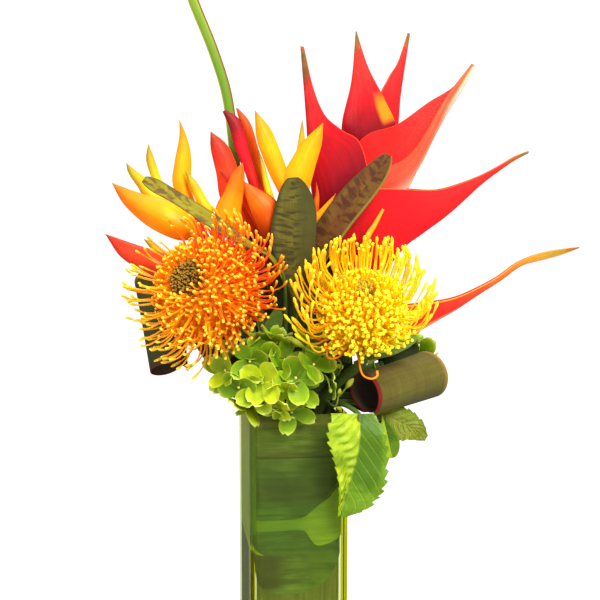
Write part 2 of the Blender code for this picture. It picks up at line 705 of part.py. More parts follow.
# Pincushion flowers.
def style(centre, axis, polar, turn, core, reach, lag, lead):
    """One curved style from the core out to its knob, hooking in towards the axis."""
    side = unit(np.cross(axis, (0.13, 0.2, 1.0)))
    other = np.cross(axis, side)
    around = side * math.cos(turn) + other * math.sin(turn)

    def at(radius, angle):
        return centre + radius * (axis * math.cos(angle) + around * math.sin(angle))

    start, bend, tip = at(core - 7, polar), at(reach * 0.86, polar * lag), at(reach, polar * lead)
    path = []
    for t in (0, 0.42, 0.84, 1.0):
        path.append((1 - t) ** 2 * start + 2 * t * (1 - t) * bend + t * t * tip)
    radii = [STYLE_RADIUS * 1.3, STYLE_RADIUS, STYLE_RADIUS * 0.9, KNOB_RADIUS]
    return tube(path, radii, 3, start=turn)


def pincushion(name, centre, axis, core, reach, count, widest, lag, lead, material, crown):
    """Domed head of curved styles around a bare crown."""
    centre, axis = np.array(centre, float), unit(axis)
    dome = ball(centre, (core, core, core * 0.92), 8, 11, bump=0.035, tilt=axis)
    golden = math.pi * (3 - math.sqrt(5))
    shapes = [dome, tube([centre - axis * (core + 3), centre - axis * (core - 12)], [5.5, 14], 8)]
    first = math.cos(math.radians(crown))
    last = math.cos(math.radians(widest))
    for i in range(count):
        polar = math.acos(first + (last - first) * (i + 0.5) / count)
        long = reach * (1 + 0.035 * math.cos(2.4 * i)) * (0.80 + 0.20 * math.sin(min(polar * 1.25, 1.6)))
        shape = style(centre, axis, polar, golden * i, core, long, lag, lead)
        if shape[0][-2][1] > STYLE_BACK_LIMIT:
            continue
        if is_clear(shape, 1.2, OBSTACLES):
            shapes.append(shape)
    fused(name, shapes, material)


def pincushions():
    orange = (-75, -60, 344), (-0.60, -0.565, 0.563)
    yellow = (63, -60, 325), (0, -0.42, 0.908)
    extra = [
        leaflet([(-34, -20, 276), (-22, -27, 300), (-12, -34, 326)], 17, (0.5, -1, 0.2)),
        leaflet([(-30, -16, 262), (-52, -14, 284), (-68, -8, 292)], 16, (0.1, -0.8, 1)),
    ]
    joint = np.array(orange[0]) - unit(orange[1]) * 45
    stem("pincushion_orange_stem", [(-27, -13, 250), (-34, -20, 276)], joint, orange[1], 4.8, extra=extra)
    extra = [
        leaflet([(46, -33, 262), (27, -38, 284), (18, -40, 312)], 18, (-0.2, -1, 0.3)),
        leaflet([(56, -39, 277), (82, -32, 287), (114, -26, 299)], 16, (0.1, -1, 0.6)),
    ]
    joint = np.array(yellow[0]) - unit(yellow[1]) * 39
    stem("pincushion_yellow_stem", [(26, -21, 240), (44, -32, 260)], joint, yellow[1], 4.8, extra=extra)
    pincushion("pincushion_orange_head", *orange, 42, 73, 72, 112, 1.10, 0.98, "style_orange", 24)
    pincushion("pincushion_yellow_head", *yellow, 36, 69, 74, 122, 1.14, 0.90, "style_yellow", 18)


# Hydrangeas.
def floret(centre, face, spin):
    """Four broad petals round an eye, on a short stalk that runs back into the head."""
    face = unit(face)
    side = unit(np.cross(face, (0.3, 0.2, 0.93)))
    other = np.cross(face, side)
    upper = [np.asarray(centre, float)]
    for petal in range(4):
        for reach, angle, lift in ((5.5, -45, 0.5), (PETAL_REACH, -24, 3.5), (PETAL_REACH, 24, 3.5)):
            turn = spin + math.radians(90 * petal + angle)
            flat = side * math.cos(turn) + other * math.sin(turn)
            upper.append(centre + reach * flat + face * lift)
    upper = np.array(upper)
    lower = upper - face * PETAL_THICK
    points = np.vstack([upper, lower])
    size = len(upper)
    tris = []
    for j in range(1, size):
        k = j + 1 if j + 1 < size else 1
        tris += [(0, j, k), (size, size + k, size + j), (j, size + j, size + k), (j, size + k, k)]
    return outward(points, np.array(tris))


def hydrangea(name, centre, radii, joint, way, layout):
    """Head of florets over a rounded core, on a neck that starts at the stem's joint."""
    centre, radii = np.array(centre, float), np.array(radii, float)
    neck = tube([joint, np.array(joint) + 16 * unit(way)], [4, 7], 6)
    shapes = [ball(centre, radii, 6, 9, bump=0.05), neck]
    for number, way in enumerate(layout):
        way = unit(way)
        surface = 1 / np.linalg.norm(way / radii)
        eye = centre + way * (surface + 7.0)
        face = unit(way / radii)
        petals = floret(eye, face, number * 0.9)
        stalk = tube([centre + way * (surface - 10), eye + face * 0.3], [2.2, 1.6], 3)
        if is_clear(petals, CLEAR, OBSTACLES) and is_clear(stalk, CLEAR, OBSTACLES):
            shapes += [petals, stalk]
    fused(name, shapes, "floret_lime")


def spread(count, axis, widest):
    """Evenly spaced directions within an angle of the axis."""
    axis = unit(axis)
    side = unit(np.cross(axis, (0.1, 0.3, 1)))
    other = np.cross(axis, side)
    golden = math.pi * (3 - math.sqrt(5))
    last = math.cos(math.radians(widest))
    ways = []
    for i in range(count):
        polar = math.acos(1 + (last - 1) * (i + 0.5) / count)
        turn = golden * i
        around = side * math.cos(turn) + other * math.sin(turn)
        ways.append(axis * math.cos(polar) + around * math.sin(polar))
    return ways


def hydrangeas():
    joint, way = (-13, -36, 238), (-0.1, -0.4, 0.9)
    layout = spread(17, (0, -0.8, 0.1), 112)
    stem("hydrangea_front_stem", [], joint, way, 3.6, count=4)
    hydrangea("hydrangea_front_head", (-13, -47, 268), (46, 18, 27), joint, way, layout)
    joint, way = (84, 62, 258), (0.85, 0.5, 0.1)
    layout = spread(9, (0.4, -0.3, 0.2), 150)
    stem("hydrangea_back_stem", [(30, 14, 240), (46, 32, 252)], joint, way, 3.4)
    hydrangea("hydrangea_back_head", (105, 72, 262), (22, 18, 19), joint, way, layout)


clear_scene()
glass_vase()
lining_leaves()
water()
green_stalk()
heliconia_red()
parrots()
parrot_bud()
leaves()
rolled_leaves()
hydrangea_leaves()
pincushions()
hydrangeas()
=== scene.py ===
"""Tropical flower arrangement in a square glass vase: the looks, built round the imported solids.

The sections follow the arrangement as it is put together, from the vase up. Lengths are
millimetres in the bouquet's own layout (x to the right, y to the back, z up), which stands
turned by TURN_DEG on the vase's axis. Finished meshes are in metres.
"""

import json
import math
import random

import bmesh
import bpy
import numpy as np
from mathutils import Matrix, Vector
from mathutils.bvhtree import BVHTree

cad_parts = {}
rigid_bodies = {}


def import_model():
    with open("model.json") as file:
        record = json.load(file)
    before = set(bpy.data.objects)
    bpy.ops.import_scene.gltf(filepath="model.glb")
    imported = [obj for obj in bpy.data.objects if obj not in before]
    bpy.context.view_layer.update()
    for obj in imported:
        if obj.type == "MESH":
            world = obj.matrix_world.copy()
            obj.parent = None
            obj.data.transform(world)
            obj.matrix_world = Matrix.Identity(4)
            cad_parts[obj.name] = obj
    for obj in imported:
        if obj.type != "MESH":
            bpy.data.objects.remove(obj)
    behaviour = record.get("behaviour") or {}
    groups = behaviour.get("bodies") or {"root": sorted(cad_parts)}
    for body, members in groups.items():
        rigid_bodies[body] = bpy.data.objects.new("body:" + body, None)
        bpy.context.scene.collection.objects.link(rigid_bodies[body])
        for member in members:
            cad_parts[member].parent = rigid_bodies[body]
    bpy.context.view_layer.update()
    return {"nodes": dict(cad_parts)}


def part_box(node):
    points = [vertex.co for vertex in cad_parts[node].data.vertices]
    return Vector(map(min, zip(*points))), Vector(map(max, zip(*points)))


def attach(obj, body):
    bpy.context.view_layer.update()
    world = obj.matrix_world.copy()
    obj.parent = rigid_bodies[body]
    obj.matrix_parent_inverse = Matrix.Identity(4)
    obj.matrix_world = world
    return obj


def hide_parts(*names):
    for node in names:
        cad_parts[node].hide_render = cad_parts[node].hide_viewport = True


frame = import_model()


# The vase: a square block vase of thick clear glass, its upright corners softly rounded.
# The inside is cut out of a solid block down to a heavy base, and every edge is fire-polished.
MM = 0.001
VASE_WALL = 5.0
VASE_BASE = 14.0
OUTER_CORNER = 4.0
INNER_CORNER = 7.0
POLISHED_EDGE = 0.8
GLASS_DENSITY = 55
vase_low, vase_high = (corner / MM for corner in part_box("glass_vase"))


def paint(code):
    """Linear colour of a screen colour code."""
    parts = [int(code[i : i + 2], 16) / 255 for i in (0, 2, 4)]
    linear = [part / 12.92 if part < 0.04 else ((part + 0.055) / 1.055) ** 2.4 for part in parts]
    return (*linear, 1.0)


def finish_of(name, colour, roughness, shine=0.5, **values):
    """A material with its plain values set on the shader. Its pattern is wired afterwards."""
    made = bpy.data.materials.new(name)
    made.use_nodes = True
    shader = made.node_tree.nodes["Principled BSDF"]
    shader.inputs["Base Color"].default_value = paint(colour)
    shader.inputs["Roughness"].default_value = roughness
    shader.inputs["Specular IOR Level"].default_value = shine
    for label, value in values.items():
        shader.inputs[label.replace("_", " ")].default_value = value
    return made


def fresh(make, **settings):
    """A new object, made by one of the program's own tools with nothing else selected."""
    bpy.ops.object.select_all(action="DESELECT")
    make(**settings)
    return bpy.context.object


def choose(*objs):
    """Selects only these objects, the first one active."""
    bpy.ops.object.select_all(action="DESELECT")
    for obj in objs:
        obj.select_set(True)
    bpy.context.view_layer.objects.active = objs[0]


def shape_with(obj, kind, **settings):
    """Adds a modifier, sets it and applies it."""
    choose(obj)
    bpy.ops.object.modifier_add(type=kind)
    modifier = obj.modifiers[-1]
    for label, value in settings.items():
        setattr(modifier, label, value)
    bpy.ops.object.modifier_apply(modifier=modifier.name)


def rounded_block(name, low, high, corner):
    """Upright block between two corners, its four upright edges rounded."""
    obj = fresh(bpy.ops.mesh.primitive_cube_add, size=1, location=(low + high) / 2 * MM)
    obj.name = name
    obj.scale = (high - low) * MM
    bpy.ops.object.transform_apply(location=True, rotation=True, scale=True)
    bpy.ops.object.mode_set(mode="EDIT")
    bpy.ops.mesh.select_mode(type="EDGE")
    bpy.ops.mesh.select_all(action="DESELECT")
    mesh = bmesh.from_edit_mesh(obj.data)
    for edge in mesh.edges:
        across = (edge.verts[0].co - edge.verts[1].co).to_2d().length
        edge.select_set(across < POLISHED_EDGE * MM)
    bmesh.update_edit_mesh(obj.data)
    bpy.ops.mesh.bevel(offset=corner * MM, segments=8, affect="EDGES")
    bpy.ops.object.mode_set(mode="OBJECT")
    return obj


def place(obj, name, slot, *nodes, sharp=40):
    """Shades a finished piece smooth and puts it on the frame."""
    choose(obj)
    bpy.ops.object.shade_smooth_by_angle(angle=math.radians(sharp))
    obj.name = name
    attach(obj, "root")
    if nodes:
        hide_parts(*nodes)
    return obj


wall = Vector((VASE_WALL, VASE_WALL, 0))
over_rim = Vector((0, 0, 2 * VASE_WALL))
floor = Vector((0, 0, VASE_BASE))
hollow = rounded_block("hollow", vase_low + wall + floor, vase_high - wall + over_rim, INNER_CORNER)
vase = rounded_block("vase", vase_low, vase_high, OUTER_CORNER)
shape_with(vase, "BOOLEAN", operation="DIFFERENCE", object=hollow, solver="EXACT")
bpy.data.objects.remove(hollow)
edges = {"limit_method": "ANGLE", "angle_limit": math.radians(50)}
shape_with(vase, "BEVEL", width=POLISHED_EDGE * MM, segments=3, **edges)
clear_glass = finish_of("block_glass", "F4FAEC", 0.02, IOR=1.12, Transmission_Weight=1.0)
edge_tint = clear_glass.node_tree.nodes.new("ShaderNodeVolumeAbsorption")
edge_tint.inputs["Color"].default_value = paint("ECEC50")
edge_tint.inputs["Density"].default_value = GLASS_DENSITY
volume = clear_glass.node_tree.nodes["Material Output"].inputs["Volume"]
clear_glass.node_tree.links.new(edge_tint.outputs[0], volume)
vase.data.materials.clear()
vase.data.materials.append(clear_glass)
place(vase, "block_vase", "clear_glass", "glass_vase", sharp=50)
shape_with(vase, "WEIGHTED_NORMAL", weight=100, keep_sharp=True)


# The lining: broad flat leaves pressed wet against the inside of the glass, as florists hide stems.
# One wraps all the way round and the others overlap on the front. Each is a thin sheet that
# follows the wall round its corners, with fine veins along the blade.
LEAF_SHEET = 0.5
LAYER_STEP = 0.6
FIRST_GAP = -0.03
LINING_STEP = 1.5
PATCH_FADE = 8
TURN_DEG = -9.0


def add(tree, kind, inputs=(), **settings):
    """A node with its settings. Each input is a number, a colour code or another node's socket."""
    node = tree.nodes.new("ShaderNode" + kind)
    for label, value in settings.items():
        setattr(node, label, value)
    for label, value in dict(inputs).items():
        if isinstance(value, bpy.types.NodeSocket):
            tree.links.new(value, node.inputs[label])
        else:
            node.inputs[label].default_value = paint(value) if isinstance(value, str) else value
    return node


def sum_of(tree, operation, first, second=0.0, third=0.0):
    """One step of arithmetic on sockets or numbers."""
    node = add(tree, "Math", {0: first, 1: second, 2: third}, operation=operation)
    return node.outputs[0]


def times(tree, first, second):
    """One socket or number times another."""
    return sum_of(tree, "MULTIPLY", first, second)


def off_middle(tree, value):
    """How far a value that runs from 0 to 1 is from its middle."""
    return sum_of(tree, "ABSOLUTE", sum_of(tree, "SUBTRACT", value, 0.5))


def stretch(tree, value, low, high, bottom=0.0, top=1.0):
    """Brings a value from one span to another with soft ends."""
    spans = {0: value, 1: low, 2: high, 3: bottom, 4: top}
    return add(tree, "MapRange", spans, interpolation_type="SMOOTHSTEP").outputs[0]


def blend_of(tree, share, first, second):
    """The first colour giving way to the second by a share."""
    return add(tree, "Mix", {0: share, 6: first, 7: second}, data_type="RGBA").outputs[2]


def tint(tree, colour, other, value, share):
    """The colour taken towards another one where the value is high, up to a share."""
    return blend_of(tree, times(tree, value, share), colour, other)


def ramp_of(tree, value, stops):
    """Colour that runs through the stops: a first code, then places in hundredths with their codes."""
    words = stops.split()
    ramp = add(tree, "ValToRGB", {0: value})
    ramp.color_ramp.interpolation = "EASE"
    while len(ramp.color_ramp.elements) < len(words[::2]):
        ramp.color_ramp.elements.new(1.0)
    for element, hundredth, code in zip(ramp.color_ramp.elements, ["0"] + words[1::2], words[::2]):
        element.position = int(hundredth) / 100
        element.color = paint(code)
    return ramp.outputs[0]


def new_group(name, inputs, outputs):
    """An empty shader group with named number sockets, and its two end nodes."""
    tree = bpy.data.node_groups.new(name, "ShaderNodeTree")
    for label, value in inputs.items():
        socket = tree.interface.new_socket(label, in_out="INPUT", socket_type="NodeSocketFloat")
        socket.default_value = value
    for label in outputs:
        tree.interface.new_socket(label, in_out="OUTPUT", socket_type="NodeSocketFloat")
    return tree, tree.nodes.new("NodeGroupInput").outputs, tree.nodes.new("NodeGroupOutput").inputs


def from_group(tree, group, **inputs):
    """Places a shared group in a material with its own values and returns its outputs."""
    node = tree.nodes.new("ShaderNodeGroup")
    node.node_tree = group
    for label, value in inputs.items():
        if isinstance(value, bpy.types.NodeSocket):
            tree.links.new(value, node.inputs[label])
        else:
            node.inputs[label].default_value = value
    return node.outputs


def grain_group():
    """Soft blotches and fine grain in the object's own space, Size in patches per metre."""
    tree, given, made = new_group("leaf_grain", {"Size": 40.0}, ("Blotch", "Fine"))
    place_of = add(tree, "TexCoord").outputs["Object"]
    blotch = add(tree, "TexNoise", {"Vector": place_of, "Scale": given["Size"], "Detail": 3.0}).outputs[0]
    small = times(tree, given["Size"], 14.0)
    fine = add(tree, "TexNoise", {"Vector": place_of, "Scale": small, "Detail": 2.0}).outputs[0]
    tree.links.new(stretch(tree, blotch, 0.32, 0.68), made["Blotch"])
    tree.links.new(fine, made["Fine"])
    return tree


def fibre_group():
    """Fine lines that run along a blade: Fibre varies softly, Line marks a few thin dark ones."""
    defaults = {"Across": 0.0, "Along": 0.0, "Count": 30.0, "Sway": 1.0}
    tree, given, made = new_group("long_fibres", defaults, ("Fibre", "Line"))
    over = times(tree, given["Across"], given["Count"])
    down = times(tree, given["Along"], given["Sway"])
    at = add(tree, "CombineXYZ", {0: over, 1: down}).outputs[0]
    fibre = add(tree, "TexNoise", {"Vector": at, "Scale": 1.0, "Detail": 4.0, "Roughness": 0.6}).outputs[0]
    far = add(tree, "CombineXYZ", {0: over, 1: down, 2: 7.0}).outputs[0]
    line = add(tree, "TexNoise", {"Vector": far, "Scale": 0.8, "Detail": 1.0}).outputs[0]
    thin = sum_of(tree, "ABSOLUTE", sum_of(tree, "SUBTRACT", line, 0.5))
    tree.links.new(stretch(tree, fibre, 0.3, 0.7), made["Fibre"])
    tree.links.new(stretch(tree, thin, 0.0, 0.03, 1.0, 0.0), made["Line"])
    return tree


leaf_grain = grain_group()
long_fibres = fibre_group()


def fibres_of(tree, across, along, count, sway, output="Fibre"):
    """Fine lines that run along a piece, so many across it."""
    return from_group(tree, long_fibres, Across=across, Along=along, Count=count, Sway=sway)[output]


def uv_parts(tree):
    """The piece's own map: across the blade and along it."""
    where = add(tree, "TexCoord").outputs["UV"]
    parts = add(tree, "SeparateXYZ", {0: where}).outputs
    return parts[0], parts[1]


def patterned(name, code, roughness, shine, size, **values):
    """A material to wire, with its tree, the map across and along the piece, and its blotches."""
    made = finish_of(name, code, roughness, shine, **values)
    tree = made.node_tree
    return made, tree, *uv_parts(tree), from_group(tree, leaf_grain, Size=size)


def wire(made, colour=None, height=None, depth=0.2, roughness=None):
    """Joins a finished pattern to the material's shader, its relief depth in millimetres."""
    tree = made.node_tree
    shader = tree.nodes["Principled BSDF"]
    if colour is not None:
        tree.links.new(colour, shader.inputs["Base Color"])
    if roughness is not None:
        tree.links.new(roughness, shader.inputs["Roughness"])
    if height is not None:
        bump = add(tree, "Bump", {"Height": height, "Distance": depth * MM, "Strength": 1.0})
        tree.links.new(bump.outputs[0], shader.inputs["Normal"])
    return made


def sheet_of(name, rows, thick, *finishes, turn=True, offset=-1.0):
    """A grid laid over rows of points, given its thickness. Its map runs across by x and along by y."""
    rows = np.asarray(rows, float)
    along, across = rows.shape[:2]
    steps = {"x_subdivisions": across - 1, "y_subdivisions": along - 1}
    obj = fresh(bpy.ops.mesh.primitive_grid_add, size=2, **steps)
    obj.name = name
    flat = np.empty(len(obj.data.vertices) * 3)
    obj.data.vertices.foreach_get("co", flat)
    flat = flat.reshape(-1, 3)
    row = np.rint((flat[:, 1] + 1) / 2 * (along - 1)).astype(int)
    column = np.rint((flat[:, 0] + 1) / 2 * (across - 1)).astype(int)
    points = rows[row, column]
    obj.data.vertices.foreach_set("co", (turned(points) if turn else points).ravel() * MM)
    for made in finishes:
        obj.data.materials.append(made)
    if thick:
        inner = len(finishes) - 1
        shape_with(obj, "SOLIDIFY", thickness=thick * MM, offset=offset, material_offset=inner)
    return obj


def turned(points):
    """Bouquet layout to the vase's frame."""
    angle = math.radians(TURN_DEG)
    cos, sin = math.cos(angle), math.sin(angle)
    points = np.asarray(points, float)
    x = points[..., 0] * cos - points[..., 1] * sin
    y = points[..., 0] * sin + points[..., 1] * cos
    return np.stack([x, y, points[..., 2]], -1)


def smooth_line(points, count):
    """A smooth curve through the points, as evenly spaced samples."""
    points = np.array(points, float)
    ends = [2 * points[0] - points[1]], [2 * points[-1] - points[-2]]
    padded = np.vstack([ends[0], points, ends[1]])
    fine = []
    for a, b, c, d in zip(padded, padded[1:], padded[2:], padded[3:]):
        for t in np.arange(16) / 16:
            square = (2 * a - 5 * b + 4 * c - d) * t * t
            cube = (-a + 3 * b - 3 * c + d) * t**3
            fine.append(0.5 * (2 * b + (c - a) * t + square + cube))
    fine = np.array(fine + [points[-1]])
    steps = np.linalg.norm(np.diff(fine, axis=0), axis=1)
    length = np.concatenate([[0], np.cumsum(steps)])
    at = np.linspace(0, length[-1], count)
    return np.stack([np.interp(at, length, column) for column in fine.T], 1)


def wall_point(s, inset):
    """Point of the vase's inner wall at s along it from the middle of the front, to the right."""
    flat = (vase_high.x - vase_low.x) / 2 - VASE_WALL - INNER_CORNER
    arc = INNER_CORNER * math.pi / 2
    side = 2 * flat + arc
    quarter = math.floor((s + flat + arc / 2) / side)
    s = s - quarter * side
    radius = INNER_CORNER - inset
    if abs(s) <= flat:
        x, y = s, -(flat + radius)
    else:
        turn = (abs(s) - flat) / INNER_CORNER
        x = math.copysign(flat + radius * math.sin(turn), s)
        y = -(flat + radius * math.cos(turn))
    angle = quarter * math.pi / 2
    return (x * math.cos(angle) - y * math.sin(angle), x * math.sin(angle) + y * math.cos(angle))


def pressed_leaf(name, outline, made, layer, rows):
    """Sheet against the glass. The outline lists s along the wall, lowest z and highest z."""
    steps = round((outline[-1][0] - outline[0][0]) / LINING_STEP)
    edges = smooth_line(outline, 4 * steps)
    grid = []
    for s in np.linspace(outline[0][0], outline[-1][0], steps):
        low, high = (np.interp(s, edges[:, 0], edges[:, k]) for k in (1, 2))
        levels = np.linspace(low, max(high, low + 0.4), rows)
        grid.append([(*wall_point(s, FIRST_GAP + LAYER_STEP * layer(s, z)), z) for z in levels])
    return sheet_of(name, grid, LEAF_SHEET, made, turn=False)


def eased(value, low, high):
    """Share from 0 to 1 as a value goes from low to high, with soft ends."""
    share = min(max((value - low) / (high - low), 0.0), 1.0)
    return share * share * (3 - 2 * share)


def wet_leaf(name, low, high, stops, dark, level, count, creases=(), patch=None):
    """Leaf seen wet through glass, coloured by height: veins level or upright, creases, a patch at left."""
    made, tree, _, round_it, grain = patterned(name, stops[:6], 0.5, 0.1, 38.0)
    height = add(tree, "SeparateXYZ", {0: add(tree, "TexCoord").outputs["Object"]}).outputs[2]
    level_of = add(tree, "MapRange", {0: height, 1: low * MM, 2: high * MM}).outputs[0]
    across, along = (height, round_it) if level else (round_it, height)
    sway = 3.0 if level else 6.0
    fibres = fibres_of(tree, across, along, count, sway)
    wide = fibres_of(tree, across, along, count * 0.3, 0.6, "Line")
    colour = ramp_of(tree, level_of, stops)
    for value, share in ((grain["Blotch"], 0.35), (fibres, 0.6), (wide, 0.35)):
        colour = tint(tree, colour, dark, value, share)
    if patch:
        code, reach, low, high = patch
        above = stretch(tree, height, low * MM, (low + PATCH_FADE) * MM)
        below = stretch(tree, height, (high - PATCH_FADE) * MM, high * MM, 1, 0)
        left = stretch(tree, round_it, reach - 0.1, reach + 0.1, 0.85, 0)
        colour = tint(tree, colour, code, times(tree, above, below), left)
    for at, slope in creases:
        line = sum_of(tree, "MULTIPLY_ADD", round_it, -slope * MM, height)
        off = sum_of(tree, "ABSOLUTE", sum_of(tree, "SUBTRACT", line, at * MM))
        colour = blend_of(tree, stretch(tree, off, 0.4 * MM, 1.1 * MM, 0.8, 0.0), colour, dark)
    return wire(made, colour, fibres, 0.05)


upper_skin = wet_leaf(
    "dark_lining", 136, 226,
    "4A6828 10 465E2A 18 424E28 30 404A28 42 4A5E2C 55 50662E 62 5A6230 80 647630 100 6C6C30",
    "303C1C", level=True, count=210, creases=((190.5, -1),),
)
lower_skin = wet_leaf(
    "shaded_lining", 60, 150, "727F34 8 627A2E 30 5A6C2C 44 52682C 50 465E28 100 466228",
    "303C1C", level=True, count=170, patch=("3C3E22", 0.34, 62, 104),
)
tip_skin = wet_leaf(
    "bright_lining", 109, 172, "768A26 30 7C922A 60 6E842A 100 5C7228",
    "4C6A20", level=True, count=200, patch=("4E6A22", 0.34, 80, 190),
)
wrap_skin = wet_leaf(
    "olive_lining", 14, 226, "5E5E2A 17 667032 30 626634 42 5E6A2C 100 6E7E30", "44461F",
    level=False, count=46,
)
full = ((-148, 14.3, 228), (0, 14.3, 227), (148, 14.3, 228))
lower = ((-48, 112, 150), (-44, 96, 150), (-40, 79, 150), (-34, 69, 150), (-20, 63, 150), (-5, 62, 150),
         (10, 64, 150), (22, 71, 150), (32, 83, 150), (38, 95, 150), (44, 110, 150), (50, 126, 150))
upper = ((-44, 132, 229), (-32, 132, 229), (0, 133, 229), (8, 137, 229), (22, 148, 229), (31, 160, 229),
         (46, 178, 229), (70, 200, 229))
tip = ((-41, 122, 132), (-20, 122, 133), (3, 122, 134), (10, 114, 138), (17, 107, 144), (28, 109, 152),
       (36, 113, 161), (60, 128, 172), (86, 146, 170), (98, 156, 162))
strip = ((-51, 96, 228.5), (-46, 92, 228.5), (-40.5, 94, 228.5))


def under_others(s, z):
    """The wrapped leaf lies on the glass except where others lie in front of it."""
    front = eased(s, -58, -53) * eased(s, 110, 100)
    return 3 * front + (1 - front) * eased(z, 96, 120) * eased(s, -120, -110)


def under_upper(s, z):
    """The lower leaf goes under the upper one, and under the pointed one at the right."""
    return 2 * eased(z, 112, 134) + eased(s, 0, 12) * (1 - eased(z, 112, 134))


def under_strip(s, z):
    """The upper leaf starts under the corner strip, and goes under the pointed one at the right."""
    return eased(s, -38, -41) + eased(s, 0, 12) * eased(z, 176, 170)


side = ((-112, 115, 228), (-90, 110, 228), (-60, 105, 228), (-51, 103.5, 228), (-49.5, 103, 112),
        (-46, 102, 108), (-42, 101, 105), (-37, 100, 102), (-33, 99.5, 100))
strip_skin = wet_leaf(
    "corner_lining", 94, 228, "5C6C2C 20 56782E 60 5A7C34 100 6A7838", "3A5222",
    level=False, count=60,
)
# Partly painted light: the leaf against the left side of the glass is painted bright yellow-green, as light
# comes in through that face; the rest is its own green.
side_skin = wet_leaf(
    "lit_side_lining", 98, 228, "C0CC1C 6 B4C41C 12 8CA214 60 94A816 100 9C9C1C", "6C7C14",
    level=False, count=46,
)


def line_glass(name, slot, outline, made, layer, *nodes, rows=9):
    """Puts one pressed leaf of the lining on the frame."""
    place(pressed_leaf(name, outline, made, layer, rows), name, slot, *nodes)


line_glass("lining_wrapped_leaf", "lining_olive", full, wrap_skin, under_others, "lining_leaf_full",
           rows=40)
line_glass("lining_lower_leaf", "lining_green", lower, lower_skin, under_upper, "lining_leaf_lower")
line_glass("lining_upper_leaf", "lining_green", upper, upper_skin, under_strip, "lining_leaf_upper")
line_glass("lining_corner_leaf", "lining_green", strip, strip_skin, lambda s, z: eased(z, 116, 106))
line_glass("lining_pointed_leaf", "lining_bright", tip, tip_skin, lambda s, z: 0, "lining_leaf_tip")
line_glass("lining_side_leaf", "lining_olive", side, side_skin, lambda s, z: 0, rows=30)



# The water: still and clear, filling the lined vase to a few centimetres under the rim, with the
# stems standing in it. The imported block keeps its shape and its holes.
water = frame["nodes"]["water"]
clear_water = finish_of("still_water", "E4F0E0", 0.03, IOR=1.33, Transmission_Weight=1.0)
tree = clear_water.node_tree
wire(clear_water, height=from_group(tree, leaf_grain, Size=90.0)["Blotch"], depth=0.3)
water.data.materials.clear()
water.data.materials.append(clear_water)


# The stems: every flower stands in the vase on its own stem, which leans out over the rim.
# They are cut cleanly at the foot, with faint ribs along them and paler, blotched skin.
STEM_FOOT = 14.3
NECK = 226.0
STRAIGHT = 6
JOINT_LEAD = 14
JOINT_GAP = 0.3
SKIN_RELIEF = 0.12


def unit(vector):
    """The same direction at length one."""
    vector = np.asarray(vector, float)
    return vector / max(np.linalg.norm(vector), 1e-9)


def directions(line):
    """Direction of the line at each of its points."""
    change = np.gradient(line, axis=0)
    return change / np.maximum(np.linalg.norm(change, axis=1), 1e-9)[:, None]


def rod(name, line, radii, made, sides=14):
    """Round piece along a line, closed at both ends. Its map runs round by x and along by y."""
    line = np.asarray(line, float)
    radii = np.interp(np.linspace(0, 1, len(line)), np.linspace(0, 1, len(radii)), radii)
    ways = directions(line)
    side = np.cross(ways[0], (0.31, 0.95, 0.05))
    rings = [np.repeat(line[:1], sides + 1, axis=0)]
    for spot, way, radius in zip(line, ways, radii):
        side = unit(side - np.dot(side, way) * way)
        other = np.cross(way, side)
        turns = np.arange(sides + 1) * 2 * math.pi / sides
        rings.append(spot + radius * (np.outer(np.cos(turns), side) + np.outer(np.sin(turns), other)))
    rings.append(np.repeat(line[-1:], sides + 1, axis=0))
    obj = sheet_of(name, rings, 0, made)
    choose(obj)
    bpy.ops.object.mode_set(mode="EDIT")
    bpy.ops.mesh.select_all(action="SELECT")
    bpy.ops.mesh.remove_doubles(threshold=0.01 * MM)
    bpy.ops.mesh.normals_make_consistent(inside=False)
    bpy.ops.object.mode_set(mode="OBJECT")
    return obj


def stem_line(foot, above, count=40):
    """From the foot in the water, straight up to the neck, then through the points above."""
    rise = smooth_line([(*foot, NECK - 26), (*foot, NECK)] + list(above), count)
    straight = [(*foot, z) for z in np.linspace(STEM_FOOT, NECK - 30, STRAIGHT)]
    return np.vstack([straight, rise])


def joined(*objs):
    """One piece made of several."""
    choose(*objs)
    bpy.ops.object.join()
    return objs[0]


def skin_of(name, stops, deep, roughness=0.4, fibres=26, sway=2.0, size=40.0, blotch=0.3, streak=0.25,
            keel=None, margin=None, glow=None, **values):
    """Living skin: colour along the piece, darker blotches and streaks, and a keel, margin or glow.

    Near and far are how wide the keel's colour reaches to either side of the middle.
    """
    made, tree, across, along, grain = patterned(name, stops[:6], roughness, 0.12, size, **values)
    lines = fibres_of(tree, across, along, fibres, sway)
    drift = sum_of(tree, "MULTIPLY_ADD", grain["Blotch"], 0.10, -0.05)
    colour = ramp_of(tree, sum_of(tree, "ADD", along, drift), stops)
    colour = tint(tree, colour, deep, grain["Blotch"], blotch)
    colour = tint(tree, colour, deep, lines, streak)
    middle = off_middle(tree, across)
    if keel:
        code, near, far = keel
        before = stretch(tree, across, 0.5 - near, 0.5 - near * 0.4)
        after = stretch(tree, across, 0.5 + far * 0.4, 0.5 + far, 1.0, 0.0)
        colour = tint(tree, colour, code, before, after)
    if margin:
        code, width = margin
        colour = blend_of(tree, stretch(tree, middle, 0.5 - width, 0.5 - width * 0.4), colour, code)
    if glow:
        code, low, high, width = glow
        before = stretch(tree, along, low - 0.06, low)
        after = stretch(tree, along, high, high + 0.12, 1, 0)
        outer = stretch(tree, middle, 0.5 - width, 0.5 - width * 0.6)
        colour = tint(tree, colour, code, times(tree, before, after), outer)
    height = sum_of(tree, "MULTIPLY_ADD", grain["Fine"], 0.4, lines)
    gloss = sum_of(tree, "MULTIPLY_ADD", grain["Blotch"], 0.12, roughness - 0.05)
    return wire(made, colour, height, SKIN_RELIEF, gloss)


stem_skin = skin_of("green_stem", "5E7434 40 44561F 80 4E6424 100 5E7030", "2C3818", 0.5, fibres=18,
                    sway=3.0)


